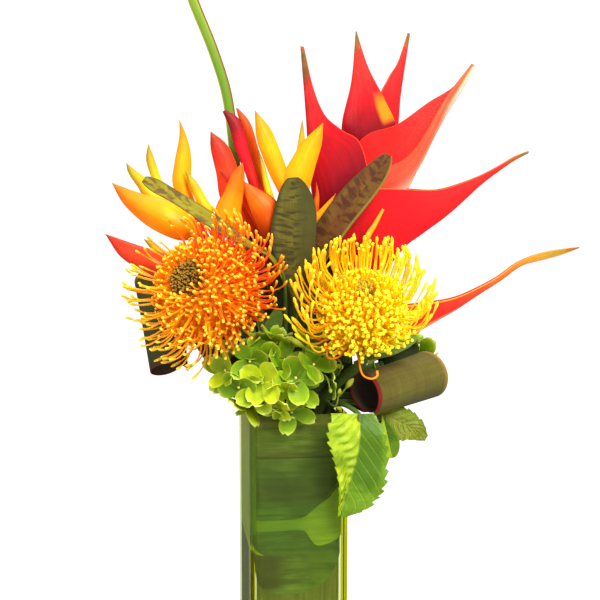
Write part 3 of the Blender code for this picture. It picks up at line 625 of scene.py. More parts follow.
def tapered(line, radius, top, start=STRAIGHT):
    """Green stalk along a line, of one radius up to the start of its taper."""
    widths = np.full(len(line), float(radius))
    widths[start:] = np.linspace(radius, top, len(line) - start)
    return rod("stalk", line, widths, stem_skin)


def stem(name, node, foot, above, joint, way, radius, top, leaflets=(), sharp=40):
    """A flower's stem, from its cut foot to just under the joint of its head."""
    joint = np.array(joint, float)
    ends = [joint - JOINT_LEAD * way, joint - JOINT_GAP * way]
    piece = tapered(stem_line(foot, above + ends), radius, top)
    if leaflets:
        piece = joined(piece, *leaflets)
    place(piece, name, "stem_green", node, sharp=sharp)


# The large heliconia: a stout zigzag rachis that carries six long boat-shaped bracts of waxy red,
# each folded along its keel. They grow from the rachis and dry to an olive point.
BRACT_WALL = 1.2
BRACT_GRID = (34, 17)
BRACT_SWELL = 0.13


def boat(keel, near, far, *finishes):
    """Folded bract between a keel line and two free margins, closing to a point at the tip."""
    stations, across = BRACT_GRID
    keel, near, far = (smooth_line(line, stations) for line in (keel, near, far))
    rows = []
    for k, n, f in zip(keel, near, far):
        inside = 0.36 * (n + f) + 0.28 * k
        bulge = []
        for margin in (n, f):
            half_way = 0.5 * (k + margin)
            bulge.append(half_way + unit(half_way - inside) * np.linalg.norm(k - margin) * BRACT_SWELL)
        rows.append(smooth_line([n, bulge[0], k, bulge[1], f], across))
    rows = np.array(rows)
    third, half = stations // 3, across // 2
    over = rows[third, half + 1] - rows[third, half - 1]
    facing = np.cross(over, rows[third + 1, half] - rows[third, half])
    if np.dot(facing, keel[third] - 0.5 * (near[third] + far[third])) < 0:
        rows = rows[:, ::-1]
    return sheet_of("bract", rows, BRACT_WALL, *finishes)


def flank(keel, mouth, y, gape, *finishes):
    """Bract seen from its flank: keel and margins in the plane y, the margins apart by gape."""
    stations = BRACT_GRID[0]
    keel, mouth = (smooth_line([(x, y, z) for x, z in line], stations) for line in (keel, mouth))
    t = np.linspace(0, 1, stations)
    apart = np.zeros((stations, 3))
    apart[:, 1] = gape * (1 - t) ** 0.7 * (0.75 + 0.25 * np.sin(math.pi * t))
    return boat(keel, mouth - apart, mouth + apart, *finishes)


def bract_skin(name, stops, deep, fibres=30, blotch=0.5, streak=0.3, **rest):
    """Waxy skin of the large bracts."""
    return skin_of(name, stops, deep, 0.33, fibres=fibres, blotch=blotch, streak=streak, **rest)


# The thin orange margins along the edges of the red bracts are partly their own edge colour and partly a
# painted highlight.
red = bract_skin(
    "red_bract", "A81018 35 E81C20 75 FF2C28 90 F03A28 94 8E6A24 100 6E6A2A", "9A0C18",
    blotch=0.4, streak=0.25, margin=("FF6A2A", 0.012),
)
# Painted shade: the two bracts on the left are painted deep maroon towards the foot, where they turn away
# from the light, and take their bright red only higher up.
shaded_red = bract_skin(
    "shaded_red_bract", "5A0E18 25 7A101C 50 C8181E 75 FF2C28 88 E83A28 93 8E6A24 100 6E6A2A", "5E0C18",
    margin=("E83A24", 0.01),
)
# The second bract's maroon foot is painted shade as well.
second_red = bract_skin(
    "second_bract", "6A1018 38 84121C 54 C41A20 72 FF3028 88 E83A28 93 8E6A24 100 6E6A2A", "6A0C18",
    glow=("F47E18", 0.43, 0.5, 0.13),
)
peach_keel = bract_skin(
    "peach_keeled_bract", "F04838 40 F06040 80 F07048 90 E86A38 94 8E6A24 100 6E6A2A", "D03828",
    fibres=16, streak=0.7, keel=("F8B898", 0.34, 0.06), margin=("F0482C", 0.02),
)
orange_keel = bract_skin(
    "long_bract", "B01018 20 E82020 40 F0402C 60 F07A30 76 D8962C 86 8E962C 100 5A6A1E", "C82018",
    fibres=22, blotch=0.4, streak=0.35, keel=("F8905C", 0.12, 0.12), margin=("F89A30", 0.04),
)
red_inside = skin_of(
    "red_bract_inside", "C8181C 30 F02420 70 FF3830 92 E84028 100 6E6A2A", "D82020", 0.36,
    blotch=0.2, Subsurface_Weight=0.3, Subsurface_Scale=0.01,
)
glowing_inside = skin_of(
    "glowing_bract_inside", "F8801C 45 FF7A20 70 FF4A28 90 F04030 100 6E6A2A", "D83820",
)

rachis = smooth_line(
    [(51, 15, 278), (60, 16, 302), (66, 17, 335), (76, 19, 375), (80, 24, 410), (76, 28, 436),
     (88, 33, 462)], 40
)
rachis_skin = skin_of("red_rachis", "B02028 60 D02A28 100 E07030", "701420")
bract_1 = flank(
    [(58, 345), (28, 388), (17, 435), (12.5, 500), (7.5, 563)],
    [(78, 405), (65, 470), (46, 486), (30, 500), (19, 526), (10.8, 562.5)], 26, 15, shaded_red, red_inside,
)
bract_2 = flank(
    [(76, 418), (56, 452), (46, 486), (55, 531), (59, 577)],
    [(86, 440), (97, 484), (87, 512), (71, 543), (60, 576)], 36, 13, second_red, glowing_inside,
)
bract_3 = flank(
    [(84, 436), (98, 480), (102, 520), (110, 575)],
    [(78, 455), (78, 505), (90, 534), (99, 549), (107.8, 576)], 42, 11, red, red_inside,
)
bract_4 = boat(
    [(80, 22, 396), (108, 20, 432), (137, 20, 489), (158, 20, 524), (168.5, 20, 544.5)],
    [(54, 7, 432), (74, 8, 447), (98, 11, 456), (112, 12, 467), (123, 13, 483), (134, 14, 503),
     (143, 16, 518), (165.5, 19.8, 547)],
    [(50, 19, 462), (70, 20, 482), (97, 24, 491), (126, 30, 511), (150, 27, 526), (166, 21, 547)],
    peach_keel, red_inside,
)
bract_5 = flank(
    [(74, 338), (103, 376), (119, 389), (142, 406), (159, 421), (175, 436), (192, 449), (205, 458),
     (218, 465)],
    [(42, 388), (53, 429), (77, 433), (107, 432), (131, 431), (149, 435), (173, 444), (192, 454),
     (205, 462), (218, 467)], 10, 14, red, red_inside,
)
bract_6 = flank(
    [(82, 281), (119, 299), (138, 310), (155, 320), (174, 333), (194, 346), (213, 360), (230, 365),
     (249, 370), (267, 377)],
    [(82, 321), (132, 327), (152, 331), (171, 339), (191, 350), (210, 364), (230, 372), (249, 376),
     (267, 378)],
    12, 8, orange_keel, red_inside,
)
core = rod("rachis", rachis, [6, 7, 8, 8.5, 8.5, 8.5, 8, 7.5, 7, 4], rachis_skin, sides=20)
heliconia = joined(core, bract_1, bract_2, bract_3, bract_4, bract_5, bract_6)
place(heliconia, "red_heliconia", "bract_red", "heliconia_red_head", sharp=60)
stem("red_heliconia_stem", "heliconia_red_stem", (12, 14), [(16, 14, 240), (27, 14, 254)],
     rachis[0], directions(rachis)[0], radius=7.0, top=6.0)


# The parrot heliconias: small upright heads of narrow boat-shaped bracts in orange, gold and red,
# with slim dried flowers among them. Each head sits on a short rachis at the top of its stem.
PARROT_WALL = 0.9
PARROT_GRID = (24, 11)
ROUNDED_OUT = ((0, 0), (0.2, 0.62), (0.5, 1), (0.8, 0.62), (1, 0))


def bract(base, left, right, depth, bulge, made):
    """Pointed bract from its foot on the rachis, between two margins, rounded out to the front."""
    stations, across = PARROT_GRID
    edges = []
    for side, margin in ((-1.5, left), (1.5, right)):
        levels = np.linspace(*depth, len(margin))
        points = [(x, y, z) for (x, z), y in zip(margin, levels)]
        edges.append(smooth_line([(base[0] + side, base[1], base[2])] + points, stations))
    rows = []
    for first, last in zip(*edges):
        width = np.linalg.norm(last - first)
        out = [first + (last - first) * share - (0, width * bulge * deep, 0) for share, deep in ROUNDED_OUT]
        rows.append(smooth_line(out, across))
    return sheet_of("bract", rows, PARROT_WALL, made)


def parrot_skin(name, stops, deep, blotch, streak, margin=None, fibres=16):
    """Skin of the small bracts, finely lined."""
    return skin_of(name, stops, deep, 0.36, fibres=fibres, blotch=blotch, streak=streak, margin=margin)


sunny = parrot_skin(
    "sunny_bract", "E06408 25 FF9008 42 FFB008 62 FF980C 78 FF7408 92 F04010 100 5A4A1E", "F48408",
    blotch=0.45, streak=0.5, margin=("FF8410", 0.05),
)
gold = parrot_skin(
    "gold_bract", "D84808 20 FF8008 40 FFA408 70 FFB008 88 FF900C 96 C8661C 100 5A4A1E", "F08408",
    blotch=0.45, streak=0.5, margin=("F88C0C", 0.08),
)
lime_tipped = parrot_skin(
    "lime_tipped_bract", "F08408 30 FFB408 60 ECB80C 80 A09818 93 64761C 100 5A4A1E", "E8A008",
    blotch=0.3, streak=0.35, fibres=14,
)
orange = parrot_skin(
    "orange_bract", "FFA808 30 FFAC10 50 FF8C08 80 F8640C 95 E0480C 100 5A4A1E", "F06808",
    blotch=0.4, streak=0.4, margin=("E84C0C", 0.06),
)
rust = parrot_skin(
    "rust_bract", "5A140C 25 8A280C 50 D85A0C 70 F07C10 90 F06A10 100 E04810", "8E240C",
    blotch=0.5, streak=0.35, margin=("A8300C", 0.08),
)
crimson = parrot_skin(
    "crimson_bract", "F05010 30 E02C1C 65 DC1C24 80 B81824 90 6E1818 100 4A2018", "A01420",
    blotch=0.4, streak=0.3, margin=("8E1A1C", 0.07),
)
scarlet = parrot_skin(
    "scarlet_bract", "A83010 25 F05818 60 F04420 85 D83020 95 8A3018 100 5A4A1E", "C82C14",
    blotch=0.4, streak=0.35, margin=("C83818", 0.06),
)
flame = parrot_skin(
    "flame_bract", "F08010 30 FF8A10 60 F86410 88 E84C14 96 A84018 100 5A4A1E", "E84C10",
    blotch=0.4, streak=0.35,
)


def parrot(name, node, slot, rachis, radius, foot, above, *bracts):
    """Head of bracts on a short rachis, and the stem under it."""
    line = smooth_line(rachis, 16)
    shapes = [rod("rachis", line, [radius, radius * 1.25, radius * 1.15, radius * 0.6], rachis_skin)]
    shapes += [bract(*parts) for parts in bracts]
    place(joined(*shapes), name, slot, "parrot_" + node, sharp=60)
    stem(name + "_stalk", "parrot_" + node + "_stem", foot[:2], above, line[0], directions(line)[0],
         foot[2], radius)


parrot(
    "left_parrot_flower", "left", "bract_orange",
    [(-72, 6, 368), (-80, 6, 385), (-88, 8, 400), (-93, 10, 410)], 3.8,
    (-20, 8, 3.2), [(-24, 9, 250), (-38, 10, 290), (-57, 8, 335)],
    ((-84, 4, 388), [(-92, 386), (-107, 386), (-132, 398), (-154, 418), (-165, 438)],
     [(-88, 402), (-96, 413), (-111, 422), (-136, 428), (-165, 438.4)], (-2, -4), 0.4, sunny),
    ((-77, 3, 380), [(-72, 400), (-69, 418), (-62, 431), (-54, 448), (-45, 457)],
     [(-50, 396), (-46, 416), (-44, 431), (-43, 444), (-44.4, 457)], (-12, -16), 0.35, orange),
    ((-90, 9, 402), [(-98, 408), (-110, 435), (-109, 454), (-104, 480), (-104, 495)],
     [(-85, 411), (-93, 431), (-93, 461), (-97, 480), (-103.6, 495)], (6, 12), 0.4, gold),
    ((-85, 6, 398), [(-82, 410), (-89, 423), (-95, 437), (-98, 449)],
     [(-72, 411), (-79, 425), (-88, 440), (-97.6, 449)], (-4, -2), 0.4, lime_tipped),
    ((-92, 10, 406), [(-124, 426), (-130, 442), (-135, 459), (-133, 473)],
     [(-111, 422), (-120, 439), (-127, 459), (-132.6, 473)], (8, 14), 0.4, lime_tipped),
    ((-93, 10, 408), [(-131, 420), (-143, 435), (-151, 447), (-153, 456)],
     [(-118, 424), (-132, 440), (-144, 449), (-152.6, 456)], (5, 8), 0.4, lime_tipped),
)
parrot(
    "low_parrot_flower", "low_left", "bract_scarlet",
    [(-86, 2, 341), (-95, 2, 349), (-106, 3, 356), (-116, 4, 363)], 3.4,
    (-29, -1, 3.0), [(-33, -1, 246), (-46, 0, 275), (-67, 1, 318)],
    ((-99, 0, 350), [(-104, 344), (-131, 354), (-157, 369), (-172, 391)],
     [(-94, 365), (-117, 373), (-145, 382), (-172, 391.4)], (-2, -2), 0.4, scarlet),
    ((-112, 4, 361), [(-115, 365), (-124, 371), (-132, 379), (-137, 386)],
     [(-109, 370), (-119, 377), (-129, 384), (-136.6, 386)], (2, 2), 0.4, lime_tipped),
)
parrot(
    "red_parrot_flower", "centre_left", "bract_scarlet",
    [(-24, 14, 362), (-24, 14, 379), (-21, 15, 397), (-18, 17, 414)], 3.8,
    (-6, 21, 3.2), [(-8, 21, 250), (-13, 20, 300), (-20, 16, 340)],
    ((-23, 12, 378), [(-50, 399), (-66, 422), (-70, 446), (-75, 469), (-75, 484)],
     [(-37, 409), (-45, 431), (-51, 454), (-60, 473), (-74.6, 485)], (10, 6), 0.35, scarlet),
    ((-21, 14, 396), [(-34, 416), (-43, 445), (-53, 469), (-58, 489), (-64, 503)],
     [(-22, 422), (-31, 442), (-39, 466), (-47, 494), (-61, 505)], (12, 10), 0.35, crimson),
    ((-19, 18, 406), [(-28, 426), (-36, 449), (-44, 477), (-49, 495), (-52, 506)],
     [(-19, 430), (-28, 454), (-32, 471), (-39, 493), (-50, 506)], (20, 20), 0.35, flame),
)
parrot(
    "gold_parrot_flower", "centre", "bract_gold",
    [(-3, -2, 352), (-5, -2, 376), (-7, -1, 397), (-5, 2, 420)], 3.8,
    (-8, 8, 3.2), [(-8, 7, 250), (-8, 4, 290), (-4, -1, 330)],
    ((-8, -2, 405), [(-10, 423), (-20, 444), (-28, 464), (-33, 481), (-34, 504)],
     [(0, 432), (-6, 454), (-12, 470), (-20, 488), (-33.6, 504)], (-2, 0), 0.35, gold),
    ((-7, 0, 404), [(-7, 423), (-10, 443), (-3, 456), (10, 476), (28, 493)],
     [(11, 418), (18, 441), (22, 456), (27, 474), (28.4, 493)], (-4, -3), 0.35, gold),
    ((-5, 3, 410), [(2, 454), (4, 468), (6, 479), (9, 495)], [(8, 451), (11, 468), (11.6, 479), (9.6, 495)],
     (6, 9), 0.3, lime_tipped),
    ((-8, 0, 398), [(-22, 418), (-27, 441), (-29, 454), (-31, 468)],
     [(-14, 418), (-20, 436), (-25, 454), (-30.6, 468)], (-4, 2), 0.5, lime_tipped),
    ((-5, -2, 376), [(-24, 384), (-35, 403), (-41, 420), (-45, 432), (-45, 440)],
     [(-9, 393), (-10, 412), (-16, 424), (-30, 433), (-44.6, 440.4)], (-8, -11), 0.3, rust),
    ((-6, -2, 374), [(-28, 390), (-40, 409), (-52, 428), (-61, 441), (-67, 449)],
     [(-22, 397), (-31, 417), (-40, 434), (-51, 445), (-66.6, 450)], (-3, 0), 0.35, scarlet),
)
parrot(
    "right_parrot_flower", "right", "bract_gold",
    [(18, 3, 356), (20, 3, 368), (22, 4, 382), (23, 5, 396)], 3.2,
    (6, -2, 3.0), [(7, -1, 260), (12, 1, 320)],
    ((21, 3, 378), [(20, 396), (20, 407), (27, 415), (40, 428)],
     [(27, 392), (29, 404), (34, 414), (40.4, 428)], (2, 4), 0.35, gold),
    ((22, 5, 388), [(18, 402), (19, 417), (21, 427), (22, 438)],
     [(24, 404), (25, 417), (25, 427), (22.6, 438)], (6, 8), 0.35, rust),
)


# The single bud: one slim tubular flower on a thin stalk behind the yellow pincushion.
# Stalk and bud are one piece, green below and orange from where it swells.
bud_points = [(17, 0, 240), (32, -5, 275), (52, -13, 335), (67, -15, 385), (75, -15, 400), (83, -15, 415)]
bud_line = stem_line((16, 1), bud_points)
bud_skin = skin_of("bud", "5E7434 62 7A8A30 72 F08A20 96 FFA628 100 FFD870", "E06A10")
bud = rod("bud", bud_line, [2.2, 2.2, 2.2, 2.2, 2.2, 2.2, 2.6, 2.9, 3.0, 2.8, 1.2], bud_skin)
place(bud, "tubular_bud", "bract_gold", "parrot_bud")


# The bare stalk: one long smooth leaf stalk that leans left above the flowers, cut square on top.
# A thin brown line runs along its green skin, and a painted highlight runs down its left side as a paler
# yellow band.
stalk_points = [(-22, 27, 270), (-36, 32, 340), (-48, 34, 400), (-53, 34, 448), (-60, 34, 513),
                (-73, 34, 558), (-92, 34, 606), (-99, 34, 632)]
stalk_line = stem_line((-18, 23), stalk_points, 60)
# Painted highlight: the pale yellow margin colour is a highlight painted along the stalk's left side.
stalk_skin = skin_of(
    "bare_stalk", "5E7434 50 5E7A22 75 6A8C24 93 86A02C 100 B8B850", "4E6C1C", 0.42,
    fibres=7, sway=1.5, streak=0.5, blotch=0.25, margin=("C8C850", 0.2), keel=("824028", 0.09, 0.09),
)
bare_stalk = rod("stalk", stalk_line, [4.8, 4.8], stalk_skin, sides=18)
place(bare_stalk, "bare_stalk", "stalk_green", "green_stalk", sharp=60)


# The banded leaves: three long stiff blades with rounded tips, each on its own stalk. Their skin is
# matt green, crossed by short dark bands that break at the midrib, and folded a little along it.
BLADE = 0.9
STALK_RADIUS = 2.4
STALK_TOP = 1.3
STALK_TAPER_FROM = 18


def blade(middle, width, facing, made, stations=70, across=17, fold=0.12, wave=0.0, rise_to=0.6,
          full_to=0.6):
    """Leaf blade along a midline, widest past the middle, its tip rounded."""
    line = smooth_line(middle, stations)
    span = np.linspace(-1, 1, across)
    rows = []
    for t, spot, way in zip(np.linspace(0, 1, stations), line, directions(line)):
        rise = min(t / rise_to, 1.0)
        full = 0.16 + 0.84 * rise * rise * (3 - 2 * rise)
        if t > full_to:
            full = math.sqrt(max(1 - ((t - full_to) / (1.01 - full_to)) ** 2, 0.04))
        half = 0.5 * width * full
        side = unit(np.cross(way, facing))
        face = unit(np.cross(side, way))
        lift = half * fold * np.sqrt(span**2 + 0.01) + wave * full * span * np.sin(14 * t)
        rows.append(spot + np.outer(half * span, side) + np.outer(lift, face))
    return sheet_of("leaf", rows, BLADE, made, offset=0.0)


def stalked_blade(name, slot, node, made, middle, width, facing, foot, above, **shape):
    """A blade on its own stalk from the water, put on the frame."""
    leaf = blade(middle, width, facing, made, **shape)
    line = stem_line(foot, above + [middle[0], smooth_line(middle, 9)[1].tolist()])
    stalk = tapered(line, STALK_RADIUS, STALK_TOP, STALK_TAPER_FROM)
    place(joined(leaf, stalk), name, slot, node, sharp=60)


def banded(name, low, high, edge, dark, count=34.0, share=0.8, side_edge=None):
    """Matt blade with broken cross bands: main colour, lighter patches, edge and band colours."""
    made, tree, across, along, grain = patterned(name, low, 0.5, 0.1, 70.0)
    off = off_middle(tree, across)
    half = times(tree, sum_of(tree, "GREATER_THAN", across, 0.5), 5.0)
    slant = sum_of(tree, "MULTIPLY_ADD", off, -1.2, times(tree, along, count))
    at = add(tree, "CombineXYZ", {0: times(tree, across, 1.6), 1: slant, 2: half}).outputs[0]
    band = add(tree, "TexNoise", {"Vector": at, "Scale": 1.0, "Detail": 2.0}).outputs[0]
    colour = blend_of(tree, grain["Blotch"], low, high)
    colour = tint(tree, colour, dark, stretch(tree, band, 0.46, 0.62), share)
    colour = blend_of(tree, stretch(tree, off, 0.36, 0.5, 0.0, 0.85), colour, edge)
    if side_edge:
        code, start, end = side_edge
        colour = blend_of(tree, stretch(tree, across, start, end, 0.0, 0.9), colour, code)
    lines = fibres_of(tree, across, along, 40.0, 2.0)
    colour = tint(tree, colour, dark, lines, 0.25)
    height = sum_of(tree, "MULTIPLY_ADD", band, 0.6, lines)
    return wire(made, colour, height, 0.15)


centre_skin = banded("dark_banded_leaf", "524C1A", "605A20", "2C3018", "302C14",
                     side_edge=("44441C", 0.45, 0.8))
right_skin = banded("brown_banded_leaf", "623C18", "684C1C", "4E3C1C", "402016", count=24.0,
                    side_edge=("7E7830", 0.9, 0.98))
left_skin = banded("light_banded_leaf", "8C8210", "7E7814", "62501C", "5A4420", count=16.0, share=0.95)

stalked_blade(
    "centre_banded_leaf", "banded_green", "banded_leaf_centre", centre_skin,
    [(4, -20, 318), (4, -21, 347), (1, -20, 388), (3, -19, 414), (1, -19, 444)], 41, (0, -1, 0.1),
    (2, -18), [(2, -18, 250), (3, -17, 290)],
)
stalked_blade(
    "right_banded_leaf", "banded_green", "banded_leaf_right", right_skin,
    [(19, -12, 345), (28, -11, 381), (40, -13, 402), (57, -15, 424), (75, -15, 445), (88, -14, 464)],
    29, (-0.45, -1, 0.2), (12, -12), [(13, -12, 255), (16, -12, 300)], fold=0.2, rise_to=0.35,
)
stalked_blade(
    "left_banded_leaf", "banded_green", "banded_leaf_left", left_skin,
    [(-7, -40, 352), (-19, -52, 375), (-41, -60, 388), (-68, -62, 406), (-99, -60, 426), (-131, -56, 444)],
    13.5, (-0.3, -0.8, 0.8), (-11, -11), [(-9, -14, 250), (-6, -26, 300)], fold=0.15, wave=0.8, full_to=0.9,
)


# The backing leaf: one broad dark leaf that stands behind the flowers and closes the view between
# them, with three small dark blades low down that fill the gaps over the rim.
# The backing skin is very dark partly as painted shade: these leaves fill gaps between the flowers that lie
# in shadow.
backing_skin = banded("backing_leaf", "2E4420", "3C5226", "26381C", "1E2C18", count=16.0, share=0.5)
stalked_blade(
    "backing_leaf", "backing_green", "backing_leaf", backing_skin,
    [(4, 31, 233), (2, 40, 266), (-2, 46, 315), (-8, 48, 397)], 110, (0, -1, 0.1), (4, 32), [],
    across=25, rise_to=0.1, full_to=0.7,
)
# The three small blades are dark sheets set into shadowed gaps over the rim: partly leaves, partly painted
# shade.
small_leaves = joined(
    blade([(-30, 1, 240), (-52, -2, 272), (-70, -2, 300), (-80, 0, 326)], 46, (0.1, -1, 0.1), backing_skin,
          stations=40, rise_to=0.3, full_to=0.7),
    blade([(38, 6.5, 231), (45, 6.5, 246), (49, 8, 270)], 44, (0, -1, 0.1), backing_skin,
          stations=30, rise_to=0.22, full_to=0.6),
    blade([(38, 7, 243), (50, 8, 241), (64, 9, 237), (78, 10, 230)], 24, (0, -1, 0.1), backing_skin,
          stations=30, rise_to=0.5, full_to=0.8),
)
place(small_leaves, "small_backing_leaves", "backing_green", sharp=60)


# The rolled leaves: two broad glossy leaves curled into open scrolls, held out beside the neck of the
# vase on their stalks. They are olive with fine lines and a thin dark red margin, and dark inside.
SCROLL_GRID = (90, 27)
SCROLL_STALK_TOP = 1.6
SCROLL_TAPER_FROM = 26


def rolled_skin(name, stops, deep, purple, margin):
    """Satin outside of a scroll, its margin at the near end."""
    made, tree, across, along, grain = patterned(name, stops[:6], 0.36, 0.15, 26.0)
    lines = fibres_of(tree, along, across, 60.0, 2.0)
    rings = fibres_of(tree, across, along, 34.0, 1.0)
    colour = ramp_of(tree, sum_of(tree, "MULTIPLY_ADD", grain["Blotch"], 0.12, along), stops)
    colour = tint(tree, colour, purple, grain["Blotch"], 0.3)
    colour = tint(tree, colour, deep, lines, 0.25)
    colour = tint(tree, colour, deep, rings, 0.25)
    colour = blend_of(tree, stretch(tree, across, 0.035, 0.06, 1.0, 0.0), colour, margin)
    colour = blend_of(tree, stretch(tree, across, 0.93, 1.0, 0.0, 0.7), colour, "9A7030")
    return wire(made, colour, sum_of(tree, "ADD", lines, rings), 0.08)


scroll_skin = rolled_skin(
    "rolled_leaf", "5C5A22 30 686428 55 5A5A24 80 4C3C1A 100 402C1A", "343014", "56341E", "701C18",
)
dark_scroll_skin = rolled_skin(
    "dark_rolled_leaf", "3A4220 40 444C26 80 3E3A20 100 3A2A1C", "242814", "3E2A1C", "4A2E20",
)
scroll_inside = skin_of(
    "rolled_leaf_inside", "6A5844 100 5A4A38", "463A2C", 0.5, fibres=30, margin=("7A241E", 0.03),
)


def scroll(name, node, foot, above, near_end, far_end, radius, open_up, turns, flare, outside):
    """Broad blade looped into a scroll from one end to the other, on its own stalk."""
    near_end, far_end = np.array(near_end, float), np.array(far_end, float)
    axis = unit(far_end - near_end)
    down = unit(-np.array(open_up) + np.dot(open_up, axis) * axis)
    side = np.cross(axis, down)
    rounds, wide = SCROLL_GRID
    c = np.linspace(-1, 1, wide)
    rows = []
    for t in np.linspace(0, 1, rounds):
        angle = -turns * 2 * math.pi * t
        around = down * math.cos(angle) + side * math.sin(angle)
        middle = near_end + np.outer(0.5 + 0.5 * c * (1 - 0.30 * t**2), far_end - near_end)
        ripple = 0.5 * np.sin(2.2 * c + 9 * t)
        swell = radius * (1 + (flare - 1) * (c + 1) / 2) - 2.6 * t + ripple * t
        rows.append(middle + np.outer(swell, around))
    rows = np.array(rows)
    centre = 0.5 * (near_end + far_end)
    facing = np.cross(rows[20, 14] - rows[20, 12], rows[21, 13] - rows[19, 13])
    if np.dot(facing, rows[20, 13] - centre) < 0:
        rows = rows[::-1]
    leaf = sheet_of("leaf", rows, BLADE, outside, scroll_inside, offset=0.0)
    middle = centre + down * radius * (0.5 + 0.5 * flare)
    ends = [middle + side * 22 + down * 0.5, middle - side * 2]
    stalk = tapered(stem_line(foot[:2], above + ends), foot[2], SCROLL_STALK_TOP, SCROLL_TAPER_FROM)
    place(joined(leaf, stalk), name, "rolled_brown", node, sharp=60)


scroll("right_rolled_leaf", "rolled_leaf_right", (25, -4, 2.8), [(33, -3, 238), (52, 2, 240)],
       near_end=(63, -35, 246), far_end=(131, 41, 254), radius=20.5, open_up=(0, 0, 1),
       turns=1.12, flare=1.12, outside=scroll_skin)
scroll("left_rolled_leaf", "rolled_leaf_left", (-29, 10, 2.8), [(-34, 12, 245), (-52, 18, 272)],
       near_end=(-113, -22, 265), far_end=(-129, 38, 347), radius=17.5, open_up=(-1, -0.1, 0),
       turns=1.1, flare=1.25, outside=dark_scroll_skin)


# The hydrangea leaves: soft broad leaves with toothed margins that hang over the rim at the right.
# They are thin, a little translucent and crinkled between the veins; one side of each midrib is painted lit
# yellow-green and the other painted in shadow.
LEAF_GRID = (90, 31)
LEAF_WALL = 0.8
TOOTH_DEPTH = 0.12


def lime_leaf(name, bright, shade, vein, turn_at, dim, share):
    """Crinkled leaf with fine branching veins: one side of the midrib painted lit and the other painted in
    shadow, lighter again towards the tip and at the margin.
    """
    glow = {"Subsurface_Weight": 0.12, "Subsurface_Scale": 0.004}
    made, tree, across, along, grain = patterned(name, bright, 0.5, 0.2, 60.0, **glow)
    off = off_middle(tree, across)
    slant = sum_of(tree, "MULTIPLY_ADD", off, -5.5, times(tree, along, 9.0))
    ridge = off_middle(tree, sum_of(tree, "FRACT", slant))
    branch = stretch(tree, ridge, 0.03, 0.12, 1.0, 0.0)
    rib = stretch(tree, off, 0.012, 0.035, 1.0, 0.0)
    veins = sum_of(tree, "MAXIMUM", branch, rib)
    # Painted light and shade: the bright side stands for light falling on it, and the dim side for a cast
    # shadow that ends towards the tip and at the margin.
    light = tint(tree, bright, shade, grain["Blotch"], 0.7)
    low = stretch(tree, sum_of(tree, "MULTIPLY_ADD", grain["Blotch"], 0.1, along), 0.62, 0.8)
    rim = sum_of(tree, "MAXIMUM", low, stretch(tree, across, 0.16, 0.04))
    dull = tint(tree, dim, shade, rim, 0.6)
    colour = blend_of(tree, stretch(tree, across, turn_at - 0.02, turn_at + 0.02), dull, light)
    colour = tint(tree, colour, vein, veins, share)
    height = sum_of(tree, "MULTIPLY_ADD", veins, -0.5, grain["Blotch"])
    return wire(made, colour, height, 1.0)


def toothed_leaf(name, node, foot, above, middle, widths, facing, made, teeth, fold, crinkle, more=()):
    """Broad toothed leaf over the rim on its own stalk. Each width is the reach to either side."""
    count, across = LEAF_GRID
    line = smooth_line(middle, count)
    reach = []
    for k in (0, 1):
        half = np.interp(np.linspace(0, len(widths) - 1, count), range(len(widths)),
                         [pair[k] for pair in widths])
        reach.append(np.convolve(np.pad(half, 3, mode="edge"), np.ones(7) / 7, mode="valid"))
    span = np.linspace(-1, 1, across)
    rows = []
    for i, (t, spot, way) in enumerate(zip(np.linspace(0, 1, count), line, directions(line))):
        side = unit(np.cross(way, facing))
        face = unit(np.cross(side, way))
        tooth = TOOTH_DEPTH * abs(span) ** 6 * ((teeth * t) % 1.0)
        out = np.where(span < 0, reach[0][i], reach[1][i]) * (0.98 - tooth)
        lift = out * abs(span) * np.where(span < 0, fold[0], fold[1]) + 1.6 * math.sin(20 * t) * span
        waves = 2 * math.pi * (9 * t - 2.75 * abs(span)) + 2 * np.sin(7 * span + 11 * t)
        quilt = np.where(span < 0, 0.3, crinkle) * (np.cos(waves) * (1 - span**4))
        rows.append(spot + np.outer(out * span, side) + np.outer(lift + quilt, face))
    stalk_line = stem_line(foot[:2], above + [middle[0], smooth_line(middle, 13)[1].tolist()])
    stalk = tapered(stalk_line, foot[2], foot[2])
    leaf = sheet_of("leaf", rows, LEAF_WALL, made, offset=0.0)
    place(joined(leaf, stalk, *more), name, "leaf_lime", node, sharp=60)


hanging_skin = lime_leaf(
    "hanging_leaf", "A0B41C", "6C9014", vein="B8CC48", turn_at=0.5, dim="44680C", share=0.15,
)
hung_side_skin = lime_leaf(
    "side_leaf", "747E18", "626E16", vein="94A034", turn_at=0.3, dim="74841A", share=0.25,
)
bright_leaf = blade(
    [(84, -12, 224), (88, -14, 206), (93, -14, 184)], 19, (0, -1, 0.3), hanging_skin, stations=40, fold=0.3,
)
toothed_leaf(
    "hanging_leaf", "hydrangea_leaf_front", (32, -19, 2.2), [(38, -28, 236), (48, -42, 239)],
    [(60, -54, 233), (61, -60, 220), (59, -61, 200), (54, -60, 181), (49, -60, 165), (46, -59, 152),
     (43, -58, 140)],
    [(14, 26), (24, 33), (28, 31), (32, 24), (35, 16), (34, 8), (27, 4), (6, 1.5)],
    (0.1, -1, 0.25), hanging_skin, teeth=11, fold=(-0.02, 0.28), crinkle=1.1,
)
toothed_leaf(
    "side_leaf", "hydrangea_leaf_side", (33, -9, 2.2), [(42, -10, 236), (60, -5, 234)],
    [(78, -5, 228), (88, -4, 222), (100, -3, 215), (112, -3, 209), (125, -3, 200)],
    [(4, 4), (12, 14), (16, 19), (16, 17), (12, 10), (3, 3)],
    (-0.2, -1, 0.5), hung_side_skin, teeth=8, fold=(0.1, 0.1), crinkle=0.5, more=[bright_leaf],
)


